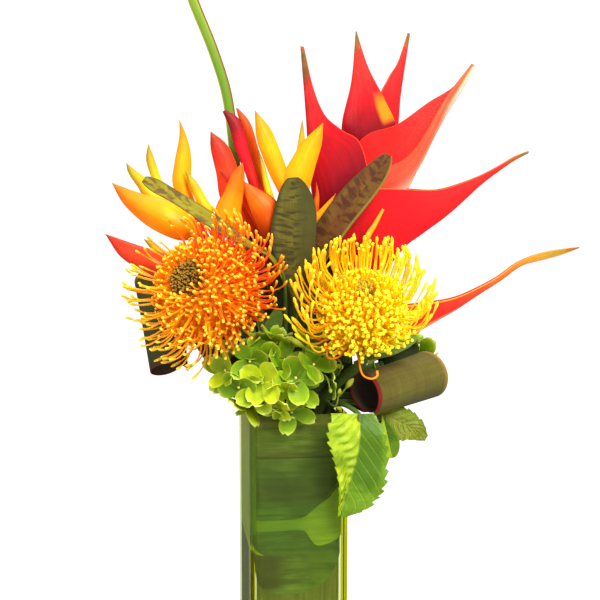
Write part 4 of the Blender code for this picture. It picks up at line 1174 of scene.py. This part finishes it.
# The pincushions: two domed heads of hundreds of wiry curved styles, each with a swollen tip, round a
# woolly core with short curled floret tubes. The styles hook in towards the bare brown crown.
ORANGE_STYLE = ((0.0, 1.0), (0.2, 0.85), (0.38, 0.78), (0.54, 0.72), (0.68, 0.7), (0.79, 0.7), (0.85, 0.95),
                (0.9, 1.25), (0.95, 1.3), (0.98, 1.0), (1.0, 0.45))
YELLOW_STYLE = ((0.0, 1.0), (0.2, 0.9), (0.38, 0.84), (0.54, 0.8), (0.68, 0.76), (0.8, 0.74), (0.88, 0.76),
                (0.92, 1.2), (0.95, 1.5), (0.98, 1.4), (1.0, 0.6))
TUBE_RINGS = ((0.0, 1.0), (0.3, 1.1), (0.6, 1.0), (0.85, 1.15), (1.0, 0.6))
STYLE_BACK_LIMIT = -10.0
STYLE_GAP = 1.7
STYLE_TRIALS = 5
TUBE_GAP = 1.5
TUBES = 420
TUFTS = 150
PIN_STEM = 4.5
PIN_STEM_TOP = 4.8
GOLDEN = math.pi * (3 - math.sqrt(5))
random.seed(11)


def taken_apart(obj):
    """The points and faces of an object, which is removed."""
    points = np.array([vertex.co for vertex in obj.data.vertices])
    faces = [list(face.vertices) for face in obj.data.polygons]
    bpy.data.objects.remove(obj)
    return points, faces


def pin(rings, sides):
    """Straight pin from z = 0 to 1 with the given radii in millimetres: a disc pulled up ring by ring."""
    obj = fresh(bpy.ops.mesh.primitive_circle_add, vertices=sides, radius=rings[0][1], fill_type="NGON")
    bpy.ops.object.mode_set(mode="EDIT")
    bpy.ops.mesh.select_all(action="SELECT")
    for (below, narrow), (above, wide) in zip(rings, rings[1:]):
        bpy.ops.mesh.extrude_region_move(TRANSFORM_OT_translate={"value": (0, 0, above - below)})
        bpy.ops.transform.resize(value=(wide / narrow, wide / narrow, 1), center_override=(0, 0, above))
    bpy.ops.mesh.select_all(action="SELECT")
    bpy.ops.mesh.normals_make_consistent(inside=False)
    bpy.ops.object.mode_set(mode="OBJECT")
    return taken_apart(obj)


def curve(start, bend, tip, t):
    """Points of a curve at the places t from 0 to 1."""
    return (1 - t) ** 2 * start + 2 * t * (1 - t) * bend + t * t * tip


def bent(pattern, start, bend, tip, size=1.0):
    """The points of a pin bent along a curve from start to tip."""
    t = pattern[:, 2:3]
    ways = (1 - t) * (bend - start) + t * (tip - bend)
    ways /= np.linalg.norm(ways, axis=1)[:, None]
    side = np.cross(ways, unit(np.cross(bend - start, tip - start)))
    side /= np.linalg.norm(side, axis=1)[:, None]
    around = pattern[:, :1] * side + pattern[:, 1:2] * np.cross(ways, side)
    return curve(start, bend, tip, t) + size * around


def mass_of(name, copies, *finishes):
    """Many placed copies in one mesh. Each copy is its points, its faces and a map place for each point."""
    points, faces, marks = [], [], []
    for spots, sides, mark in copies:
        start = len(points)
        points += (turned(spots) * MM).tolist()
        faces += [[start + corner for corner in face] for face in sides]
        marks += mark
    mesh = bpy.data.meshes.new(name)
    mesh.from_pydata(points, [], faces)
    corners = np.empty(len(mesh.loops), int)
    mesh.loops.foreach_get("vertex_index", corners)
    mesh.uv_layers.new(name="UVMap").data.foreach_set("uv", np.array(marks, float)[corners].ravel())
    obj = bpy.data.objects.new(name, mesh)
    bpy.context.scene.collection.objects.link(obj)
    for made in finishes:
        mesh.materials.append(made)
    return obj


def tree_of(obj):
    """Search tree of a finished piece, in millimetres."""
    points = [vertex.co / MM for vertex in obj.data.vertices]
    return BVHTree.FromPolygons(points, [tuple(face.vertices) for face in obj.data.polygons])


def free_of(line, gap, trees):
    """True where no point of a line in the bouquet's layout comes within the gap of the pieces."""
    spots = turned(line).tolist()
    return all(tree.find_nearest(spot, gap)[0] is None for tree in trees for spot in spots)


def style_skin(name, low, high, deep):
    """Waxy styles: colour runs from the foot to the tip, each style between two mixes."""
    glow = {"Subsurface_Weight": 0.1, "Subsurface_Scale": 0.002}
    made, tree, each, along, grain = patterned(name, low[:6], 0.38, 0.25, 180.0, **glow)
    colour = blend_of(tree, each, ramp_of(tree, along, low), ramp_of(tree, along, high))
    colour = tint(tree, colour, deep, grain["Blotch"], 0.25)
    return wire(made, colour, grain["Fine"], 0.06)


def core_skin(name, low, high, crown, crown_edge):
    """Woolly core: bright between the tubes, and brown and dull over the bare crown."""
    made, tree, _, along, grain = patterned(name, low, 0.75, 0.1, 220.0)
    colour = blend_of(tree, grain["Blotch"], low, high)
    woolly = blend_of(tree, grain["Blotch"], crown, "4A3418")
    colour = blend_of(tree, stretch(tree, along, crown_edge - 0.06, crown_edge), colour, woolly)
    return wire(made, colour, grain["Blotch"], 1.2)


def round_core(segments, rings, made):
    """A unit ball to shape into a head's core, and its points."""
    ball = fresh(bpy.ops.mesh.primitive_uv_sphere_add, segments=segments, ring_count=rings, radius=1)
    ball.data.materials.append(made)
    return ball, np.array([vertex.co for vertex in ball.data.vertices])


tube_pattern, tube_faces = pin(TUBE_RINGS, 5)


def pincushion(name, node, slot, centre, stalk_way, axis, core, count, widest, crown, rings, form, trees,
               skins, lit_side, loose=()):
    """Head of styles round a core, kept clear of the pieces round it.

    For the way a style leaves the core, the form gives its share, its reach, and its bends out and in.
    """
    style_made, tube_made, core_made, crown_made = skins
    style_pattern, style_faces = pin(rings, 5)
    centre, stalk_way, axis = np.array(centre, float), unit(stalk_way), unit(axis)
    side = unit(np.cross(axis, (0.13, 0.2, 1.0)))
    other = np.cross(axis, side)

    def at(radius, polar, turn):
        """Point at a distance from the centre, at an angle from the axis and a turn round it."""
        around = side * math.cos(turn) + other * math.sin(turn)
        return centre + radius * (axis * math.cos(polar) + around * math.sin(polar))

    first, last = math.cos(math.radians(crown)), math.cos(math.radians(widest))
    styles = []
    for i in range(count):
        for trial in range(STYLE_TRIALS):
            polar = math.acos(first + (last - first) * (i + random.random()) / count)
            turn = GOLDEN * i + random.uniform(-0.12, 0.12) * (1 + trial)
            share, reach, lag, lead = form(at(1.0, polar, turn) - centre)
            if share < random.random():
                break
            long = reach * random.uniform(0.9, 1.05)
            long = long * (0.80 + 0.20 * math.sin(min(polar * 1.25, 1.6))) * (1 - 0.07 * trial)
            sway = np.array([random.gauss(0, 1.3) for _ in range(3)])
            start = at(core - 5, polar, turn)
            bend_polar = polar * lag * random.uniform(0.97, 1.05)
            bend = at(long * 0.87, bend_polar, turn + random.uniform(-0.06, 0.06)) + sway
            tip = at(long, polar * lead * random.uniform(0.93, 1.04), turn) - 0.7 * sway
            line = curve(start, bend, tip, np.linspace(0.1, 1, 18)[:, None])
            if tip[1] < STYLE_BACK_LIMIT and free_of(line, STYLE_GAP, trees):
                styles.append((start, bend, tip, 1.25 if reach < 65 else 1.0))
                break
    copies = []
    for start, bend, tip, size in styles:
        # Partly painted light: styles that point towards the given side are painted lighter and more
        # golden, the others deeper orange; the random spread is the styles' own tone.
        tone = 0.5 + 0.5 * np.dot(unit(tip - centre), lit_side) + random.uniform(-0.3, 0.3)
        marks = [(min(max(tone, 0.02), 0.98), height) for height in style_pattern[:, 2]]
        copies.append((bent(style_pattern, start, bend, tip, size), style_faces, marks))
    whole = mass_of("styles", copies, style_made)
    copies = []
    for i in range(TUBES):
        polar = math.acos(first + (last - first) * (i + random.random()) / TUBES)
        turn = GOLDEN * i * 1.7
        start, bend = at(core - 3, polar, turn), at(core + 7, polar * 1.03, turn)
        tip = at(core + random.uniform(4, 9), polar * 0.97 - 0.06, turn + random.uniform(-0.12, 0.12))
        if free_of(np.array([bend, tip]), TUBE_GAP, trees):
            tone = random.random()
            marks = [(tone, height) for height in tube_pattern[:, 2]]
            copies.append((bent(tube_pattern, start, bend, tip, 1.15), tube_faces, marks))
    tubes = mass_of("tubes", copies, tube_made)
    copies = []
    for i in range(TUFTS):
        polar = math.radians(crown) * math.sqrt((i + random.random()) / TUFTS)
        turn = GOLDEN * i
        start = at(core - 6, polar, turn)
        tip = at(core + random.uniform(-1, 3.5), polar * 0.9, turn + random.uniform(-0.3, 0.3))
        marks = [(random.random(), height) for height in tube_pattern[:, 2]]
        middle = 0.5 * (start + tip) + side * 0.6
        copies.append((bent(tube_pattern, start, middle, tip, 0.9), tube_faces, marks))
    tufts = mass_of("tufts", copies, crown_made)
    ball, spots = round_core(64, 32, core_made)
    swell = np.sin(23 * np.arctan2(spots[:, 1], spots[:, 0]) + 9 * spots[:, 2]) * np.sin(19 * spots[:, 2])
    swell = 1 + 0.012 * swell
    spots = (spots * swell[:, None] * (core, core, core * 0.92)) @ np.array([side, other, axis]) + centre
    ball.data.vertices.foreach_set("co", (turned(spots) * MM).ravel())
    foot = centre - stalk_way * (core + 3)
    line = np.linspace(foot, centre - stalk_way * (core - 12), 8)
    neck = rod("neck", line, [5.5, 14], stem_skin, sides=20)
    return place(joined(whole, tubes, tufts, ball, neck, *loose), name, slot, node, sharp=70)


def leaflet(middle, width, facing):
    """Short leaf on a flower's stem."""
    return blade(middle, width, facing, leaflet_skin, stations=30, across=9, fold=0.2)


leaflet_skin = banded("stem_leaflet", "5E7A2C", "6E8A34", "7A7030", "46602A", count=10.0, share=0.4)
orange_at, orange_way = np.array((-75, -60, 344)), unit((-0.60, -0.565, 0.563))
leaflets = [
    leaflet([(-34, -20, 276), (-22, -27, 300), (-12, -34, 326)], 17, (0.5, -1, 0.2)),
    leaflet([(-30, -16, 262), (-52, -14, 284), (-68, -8, 292)], 16, (0.1, -0.8, 1)),
]
stem("orange_pincushion_stem", "pincushion_orange_stem", (-24, -10), [(-27, -13, 250), (-34, -20, 276)],
     orange_at - orange_way * 45, orange_way, PIN_STEM, PIN_STEM_TOP, leaflets, sharp=60)
yellow_at, yellow_way = np.array((63, -60, 325)), unit((0, -0.42, 0.908))
leaflets = [
    leaflet([(46, -33, 262), (27, -38, 284), (18, -40, 312)], 18, (-0.2, -1, 0.3)),
    leaflet([(56, -39, 277), (82, -32, 287), (114, -26, 299)], 16, (0.1, -1, 0.6)),
]
stem("yellow_pincushion_stem", "pincushion_yellow_stem", (22, -18), [(26, -21, 240), (44, -32, 260)],
     yellow_at - yellow_way * 39, yellow_way, PIN_STEM, PIN_STEM_TOP, leaflets, sharp=60)

orange_skins = (
    style_skin("orange_styles", "C02808 50 E84408 80 FF7008 88 FFB020 100 FFC030",
               "F48808 50 FFB010 80 FFC418 88 FFD834 100 FFE048", "F04808"),
    style_skin("orange_tubes", "E87408 60 FF9C08 100 FFC420", "F89008 60 FFBC14 100 FFE034", "E86008"),
    core_skin("orange_core", "E07808", "F89C10", "7A5420", 0.885),
    skin_of("orange_crown", "5E4014 60 8A6220 100 B88C30", "5A3C14", 0.7),
)
yellow_skins = (
    style_skin("yellow_styles", "E85408 40 F48408 84 FCA80C 92 FFD428 100 FFDC20",
               "FFB808 40 FFE808 84 FFF410 92 FFFA40 100 FFF830", "FFB808"),
    style_skin("yellow_tubes", "F8A808 60 FFDC08 100 FFF020", "F8A808 60 FFE010 100 FFF430", "F8B008"),
    core_skin("yellow_core", "E8A808", "FCD008", "8E6414", 0.92),
    skin_of("yellow_crown", "6A5014 60 9A7C1C 100 D8B428", "6A4A14", 0.7),
)
close_by = """red_heliconia left_parrot_flower low_parrot_flower red_parrot_flower gold_parrot_flower
    right_parrot_flower tubular_bud bare_stalk centre_banded_leaf right_banded_leaf left_banded_leaf
    left_rolled_leaf right_rolled_leaf hanging_leaf left_parrot_flower_stalk red_parrot_flower_stalk
    low_parrot_flower_stalk gold_parrot_flower_stalk block_vase red_heliconia_stem""".split()
round_about = [tree_of(obj) for obj in bpy.data.objects if obj.name in close_by]


def orange_form(way):
    """The open outer styles stand apart, and few of them rise on the left, where the red bract shows."""
    if way[0] < -0.25 and way[2] > 0.28 and way[2] > 0.6 * way[0] + 0.55:
        return 0.1, 73, 1.12, 0.93
    if way[1] < -0.86:
        return 1.0, 78, 1.05, 1.0
    if way[0] > 0 and way[2] < -0.3:
        return 1.0, 62, 1.08, 0.95
    return 0.5 if way[1] > -0.74 and way[0] < 0.1 else 0.95, 75, 1.14, 0.92


def yellow_form(way):
    """A short dense boss in front and below, and open styles that stand apart and rise round it."""
    if way[1] < -0.66 and way[2] < 0.5 or way[2] < -0.5 + 0.15 * way[0]:
        return 1.0, 51 + 5 * min(way[2], 0.2), 1.05, 0.94
    return 0.3 if way[1] < 0.3 else 0.6, 70, 1.24, 0.74


orange_head = pincushion(
    "orange_pincushion", "pincushion_orange_head", "style_orange", orange_at, orange_way,
    axis=(-0.45, -0.78, 0.43), core=42, count=470, widest=112, crown=22, rings=ORANGE_STYLE,
    form=orange_form, trees=round_about, skins=orange_skins, lit_side=(-0.8, -0.1, -0.75),
)
round_about.append(tree_of(orange_head))
hook_skin = skin_of("hooked_style", "E86808 60 F88C0C 100 FFB018", "D85408")
hooks = [
    rod("hook", smooth_line(line, 26), [1.0, 0.9, 0.85, 1.1], hook_skin, sides=8) for line in (
        [(56, -66, 297), (59, -77, 286), (62, -81, 274), (69, -82, 270), (75, -82, 272), (75, -81, 277)],
        [(50, -68, 296), (42, -75, 289), (35, -77, 287), (31, -76, 290), (32, -74, 295)],
    )
]
yellow_head = pincushion(
    "yellow_pincushion", "pincushion_yellow_head", "style_yellow", yellow_at, yellow_way,
    axis=(0, -0.62, 0.785), core=33, count=560, widest=118, crown=15, rings=YELLOW_STYLE,
    form=yellow_form, trees=round_about, skins=yellow_skins, lit_side=(0.7, -0.5, -0.1), loose=hooks,
)
round_about.append(tree_of(yellow_head))


# The hydrangeas: a green head that fills the neck of the vase at the front and a small one at the
# right behind. Each floret has four broad petals round a pale eye, on a short stalk from the head.
PETAL = 20.0
PETAL_HALF = 8.8
PETAL_FULL = 0.55
HYDRANGEA_STEM = 4.0
FLORET_TRIALS = 3
FLORET_GAP = 0.5
random.seed(5)


def petal_pattern():
    """One petal laid out flat: x from side to side and y from foot to tip, given its thickness."""
    obj = fresh(bpy.ops.mesh.primitive_grid_add, x_subdivisions=6, y_subdivisions=7, size=2)
    shape_with(obj, "SOLIDIFY", thickness=0.5, offset=0.0)
    return taken_apart(obj)


petal_points, petal_faces = petal_pattern()
eye_points, eye_faces = pin(((0.0, 0.7), (0.35, 1.3), (0.7, 1.4), (1.0, 0.6)), 6)


def floret(centre, face, spin, size, cup, tone):
    """Placed copies of the four petals and the eye of one floret."""
    face = unit(face)
    side = unit(np.cross(face, (0.3, 0.2, 0.93)))
    other = np.cross(face, side)
    copies = []
    for k in range(4):
        turn = spin + math.pi / 2 * k + random.uniform(-0.12, 0.12)
        ahead = side * math.cos(turn) + other * math.sin(turn)
        wide = np.cross(face, ahead)
        u, v, w = petal_points[:, 0], (petal_points[:, 1] + 1) / 2, petal_points[:, 2]
        narrow = 0.22 + 0.78 * np.sin(np.clip(v / PETAL_FULL, 0, 1) * math.pi / 2)
        rounded = np.sqrt(np.clip(1 - ((v - PETAL_FULL) / 0.47) ** 2, 0.05, 1))
        half = np.where(v < PETAL_FULL, narrow, rounded) * PETAL_HALF * size
        long = PETAL * size * random.uniform(0.92, 1.05)
        curl = cup + random.uniform(-0.25, 0.25)
        lift = long * curl * v**1.6 + 1.3 * size * u**2 * v - 0.5 * np.cos(u * math.pi) * v
        lift = lift + w + (k % 2) * 0.5
        spots = centre + np.outer(1.2 + long * v, ahead) + np.outer(half * u, wide) + np.outer(lift, face)
        shade = tone + random.uniform(-0.15, 0.15)
        margin = 1 - (1 - v) * (1 - 0.8 * u**4)
        copies.append((spots, petal_faces, [(shade, height) for height in margin]))
    eye = centre + np.outer(eye_points[:, 2] * 2.2 - 0.4, face)
    eye = eye + np.outer(eye_points[:, 0], side) + np.outer(eye_points[:, 1], other)
    copies.append((eye, eye_faces, [(tone, -0.5)] * len(eye_points)))
    return copies


def petal_skin(name, stops, two, dark, eye):
    """Soft lime petal: deeper at the foot, pale at the margin, each petal its own mix of a light and a
    darker ramp; the darker ramp also carries painted shade.
    """
    glow = {"Subsurface_Weight": 0.15, "Subsurface_Scale": 0.003}
    made, tree, each, along, grain = patterned(name, stops[:6], 0.45, 0.2, 110.0, **glow)
    mix = stretch(tree, each, 0.1, 0.9)
    colour = blend_of(tree, mix, ramp_of(tree, along, stops), ramp_of(tree, along, two))
    colour = tint(tree, colour, dark, grain["Blotch"], 0.3)
    colour = blend_of(tree, stretch(tree, along, -0.3, -0.1, 1.0, 0.0), colour, eye)
    return wire(made, colour, sum_of(tree, "ADD", grain["Blotch"], grain["Fine"]), 0.3)


lime = petal_skin(
    "lime_petal", "90A00C 50 B0C20C 86 C2CE12 95 D8E040 100 E8EC74",
    "4C680C 50 668A0C 86 82A010 95 A8BC34 100 C8D058", "54880C", "F0E060",
)
# Painted shade: the core is painted very dark green, to stand for the shadow in the gaps between the
# florets.
core_shade_green = skin_of("head_core", "26361A 100 304418", "2A2012", 0.6, size=120.0)


def spread(count, axis, widest):
    """Evenly spaced directions within an angle of the axis, a little out of order."""
    axis = unit(axis)
    side = unit(np.cross(axis, (0.1, 0.3, 1)))
    other = np.cross(axis, side)
    last = math.cos(math.radians(widest))
    ways = []
    for i in range(count):
        polar = math.acos(1 + (last - 1) * (i + 0.5) / count) + random.uniform(-0.08, 0.08)
        turn = GOLDEN * i + random.uniform(-0.15, 0.15)
        around = side * math.cos(turn) + other * math.sin(turn)
        ways.append(axis * math.cos(polar) + around * math.sin(polar))
    return ways


def hydrangea(name, node, centre, radii, foot, above, joint, way, top, layout):
    """Head of florets over a rounded core, on its stem, kept clear of the pieces round it."""
    joint, way = np.array(joint, float), unit(way)
    stem(name + "_stem", node + "_stem", foot, above, joint, way, HYDRANGEA_STEM, top)
    centre, radii = np.array(centre, float), np.array(radii, float)
    neck = rod("neck", [joint, joint + 8 * way, joint + 16 * way], [4, 7], stem_skin)
    ball, spots = round_core(40, 20, core_shade_green)
    swell = 1 + 0.04 * np.sin(7 * spots[:, 0] + 3) * np.sin(9 * spots[:, 2]) * np.cos(8 * spots[:, 1])
    ball.data.vertices.foreach_set("co", (turned(spots * swell[:, None] * radii + centre) * MM).ravel())
    copies = []
    for out in layout:
        out = unit(out)
        surface = 1 / np.linalg.norm(out / radii)
        face = unit(unit(out / radii) + np.array([random.gauss(0, 0.26) for _ in range(3)]))
        for trial in range(FLORET_TRIALS):
            eye = centre + out * (surface + random.uniform(2, 10) - 2.5 * trial)
            # Painted shade: florets on the top of the head are pushed to the darker mix, as the top of the
            # head lies in shadow; the rest vary at random.
            tone = 0.15 + 0.8 * random.random() + (0.6 if out[2] > 0.35 else 0.0)
            spin, size, cup = random.uniform(0, 1.57), random.uniform(0.85, 1.1), random.uniform(0.05, 0.6)
            petals = floret(eye, face, spin, size, cup, tone)
            if all(free_of(spots[::3], FLORET_GAP, round_about) for spots, _, _ in petals):
                copies += petals
                inner, outer = centre + out * (surface - 8), eye + face * 0.2
                stalk = bent(tube_pattern, inner, 0.5 * (inner + outer) + 0.4 * face, outer)
                copies.append((stalk, tube_faces, [(0.5, 0.1)] * len(stalk)))
                break
    head = joined(mass_of("florets", copies, lime), ball, neck)
    return place(head, name, "floret_lime", node + "_head", sharp=50)


front_head = hydrangea(
    "front_hydrangea", "hydrangea_front", centre=(-15, -47, 267), radii=(48, 18, 28),
    foot=(-10, -25), above=[], joint=(-13, -36, 238), way=(-0.1, -0.4, 0.9), top=3.6,
    layout=spread(27, (-0.1, -0.8, -0.05), widest=120),
)
round_about.append(tree_of(front_head))


def bud_on(line, length, width):
    """Slim green bud at the end of a thin curved stalk."""
    line = smooth_line(line, 24)
    way = unit(line[-1] - line[-3])
    body = [line[-1] + way * length * t for t in np.linspace(-0.1, 1, 12)]
    widths = [0.4 * width, 0.85 * width, width, 0.8 * width, 0.2 * width]
    stalk = rod("stalk", line, [0.9, 0.7], bud_stalk, sides=8)
    return joined(stalk, rod("bud", body, widths, bud_green, sides=12))


bud_stalk = skin_of("bud_stalk", "5E7424 100 8EA030", "46601C", 0.5)
bud_green = skin_of("green_bud", "7E8C24 50 A8B42C 100 C0B840", "6A7A1C", 0.45)
buds = joined(
    bud_on([(36, -46, 262), (44, -60, 276), (41, -66, 285), (32, -67, 288), (19, -66, 291), (10, -65, 296)],
           length=17, width=2.8),
    bud_on([(32, -44, 246), (42, -52, 249), (49, -56, 258)], length=11, width=2.7),
    bud_on([(24, -58, 272), (31, -64, 268), (34, -65, 258)], length=4, width=1.8),
    bud_on([(30, -42, 244), (39, -52, 240), (42, -58, 252)], length=6, width=2.0),
)
place(buds, "neck_buds", "stem_green")
hydrangea(
    "back_hydrangea", "hydrangea_back", centre=(105, 72, 262), radii=(22, 18, 19),
    foot=(27, 9), above=[(30, 14, 240), (46, 32, 252)], joint=(84, 62, 258), way=(0.85, 0.5, 0.1), top=3.4,
    layout=spread(15, (0.4, -0.3, 0.2), widest=150),
)


# The studio: a white sweep under and behind the vase, lit softly from all round by the world and
# three lamps, and the camera, which stands a little to the left of the vase's front and above it.
def seen_or_felt(tree, shown, felt, mirrored):
    """White where it is seen, also through glass, softer as light and softest in reflections."""
    path = add(tree, "LightPath").outputs
    seen = sum_of(tree, "MAXIMUM", path["Is Camera Ray"], path["Is Transmission Ray"])
    light = add(tree, "MapRange", {0: path["Is Glossy Ray"], 3: felt, 4: mirrored}).outputs[0]
    return add(tree, "MapRange", {0: seen, 3: light, 4: shown}).outputs[0]


def sweep_colour(name, shown, felt, mirrored):
    """Pale paper that the camera sees as white, and that throws little light back on the vase."""
    made = finish_of(name, "F8F8F8", 0.9, shine=0.0)
    tree = made.node_tree
    grain = from_group(tree, leaf_grain, Size=3.0)
    colour = blend_of(tree, grain["Blotch"], "5C5C5C", "666666")
    shader = tree.nodes["Principled BSDF"]
    shader.inputs["Emission Color"].default_value = (1, 1, 1, 1)
    tree.links.new(seen_or_felt(tree, shown, felt, mirrored), shader.inputs["Emission Strength"])
    return wire(made, colour)


SWEEP_SIZE = (12, 6, 1)
SWEEP_BEND = 1.2
SWEEP_STEPS = 8
SWEEP_RISE = 5
sweep = fresh(bpy.ops.mesh.primitive_plane_add, size=1)
sweep.name = "studio_sweep"
sweep.scale = SWEEP_SIZE
bpy.ops.object.transform_apply(location=True, rotation=True, scale=True)
bpy.ops.object.mode_set(mode="EDIT")
bpy.ops.mesh.select_mode(type="EDGE")
bpy.ops.mesh.select_all(action="DESELECT")
mesh = bmesh.from_edit_mesh(sweep.data)
for edge in mesh.edges:
    edge.select_set(all(vertex.co.y > 0.48 * SWEEP_SIZE[1] for vertex in edge.verts))
bmesh.update_edit_mesh(sweep.data)
reach = 2 * SWEEP_BEND * math.sin(math.radians(45 / SWEEP_STEPS))
for step in range(SWEEP_STEPS):
    angle = math.radians(90 * (step + 0.5) / SWEEP_STEPS)
    ahead = (0, reach * math.cos(angle), reach * math.sin(angle))
    bpy.ops.mesh.extrude_region_move(TRANSFORM_OT_translate={"value": ahead})
bpy.ops.mesh.extrude_region_move(TRANSFORM_OT_translate={"value": (0, 0, SWEEP_RISE)})
bpy.ops.object.mode_set(mode="OBJECT")
sweep.data.materials.append(sweep_colour("studio_white", shown=1.0, felt=0.5, mirrored=0.0))
choose(sweep)
bpy.ops.object.shade_smooth()

world = bpy.data.worlds.new("soft_studio")
world.use_nodes = True
world.node_tree.nodes["Background"].inputs[0].default_value = (1, 1, 1, 1)
strength = seen_or_felt(world.node_tree, shown=1.0, felt=0.7, mirrored=0.15)
world.node_tree.links.new(strength, world.node_tree.nodes["Background"].inputs[1])
scene = bpy.context.scene
scene.world = world


AIM = (0, 0, 0.35)


def lamp(name, place_at, size, power):
    """Soft square light that looks at the bouquet."""
    light = fresh(bpy.ops.object.light_add, type="AREA", location=place_at)
    light.name = name
    light.data.size = size
    light.data.energy = power
    light.rotation_euler = (Vector(place_at) - Vector(AIM)).to_track_quat("Z", "Y").to_euler()


lamp("key_light", (0.6, -1.7, 1.7), size=1.0, power=84)
lamp("fill_light", (-1.6, -1.2, 0.9), size=1.2, power=18)
lamp("top_light", (0.2, 0.5, 2.0), size=1.2, power=24)

CAMERA_TURN = -9.0
CAMERA_RISE = 7.0
CAMERA_AWAY = 1.5
CAMERA_LENS = 97.19
SEEN_RIGHT = 0.0072
SEEN_HEIGHT = 0.3298
turn, rise = math.radians(CAMERA_TURN), math.radians(CAMERA_RISE)
back = Vector((math.sin(turn) * math.cos(rise), -math.cos(turn) * math.cos(rise), math.sin(rise)))
right = Vector((math.cos(turn), math.sin(turn), 0))
target = right * SEEN_RIGHT + Vector((0, 0, SEEN_HEIGHT))
camera = fresh(bpy.ops.object.camera_add, location=target + back * CAMERA_AWAY)
camera.name = "photo_camera"
camera.rotation_euler = back.to_track_quat("Z", "Y").to_euler()
camera.data.sensor_width = 36
camera.data.lens = CAMERA_LENS
camera.data.clip_end = 50
scene.camera = camera
scene.view_settings.view_transform = "Standard"
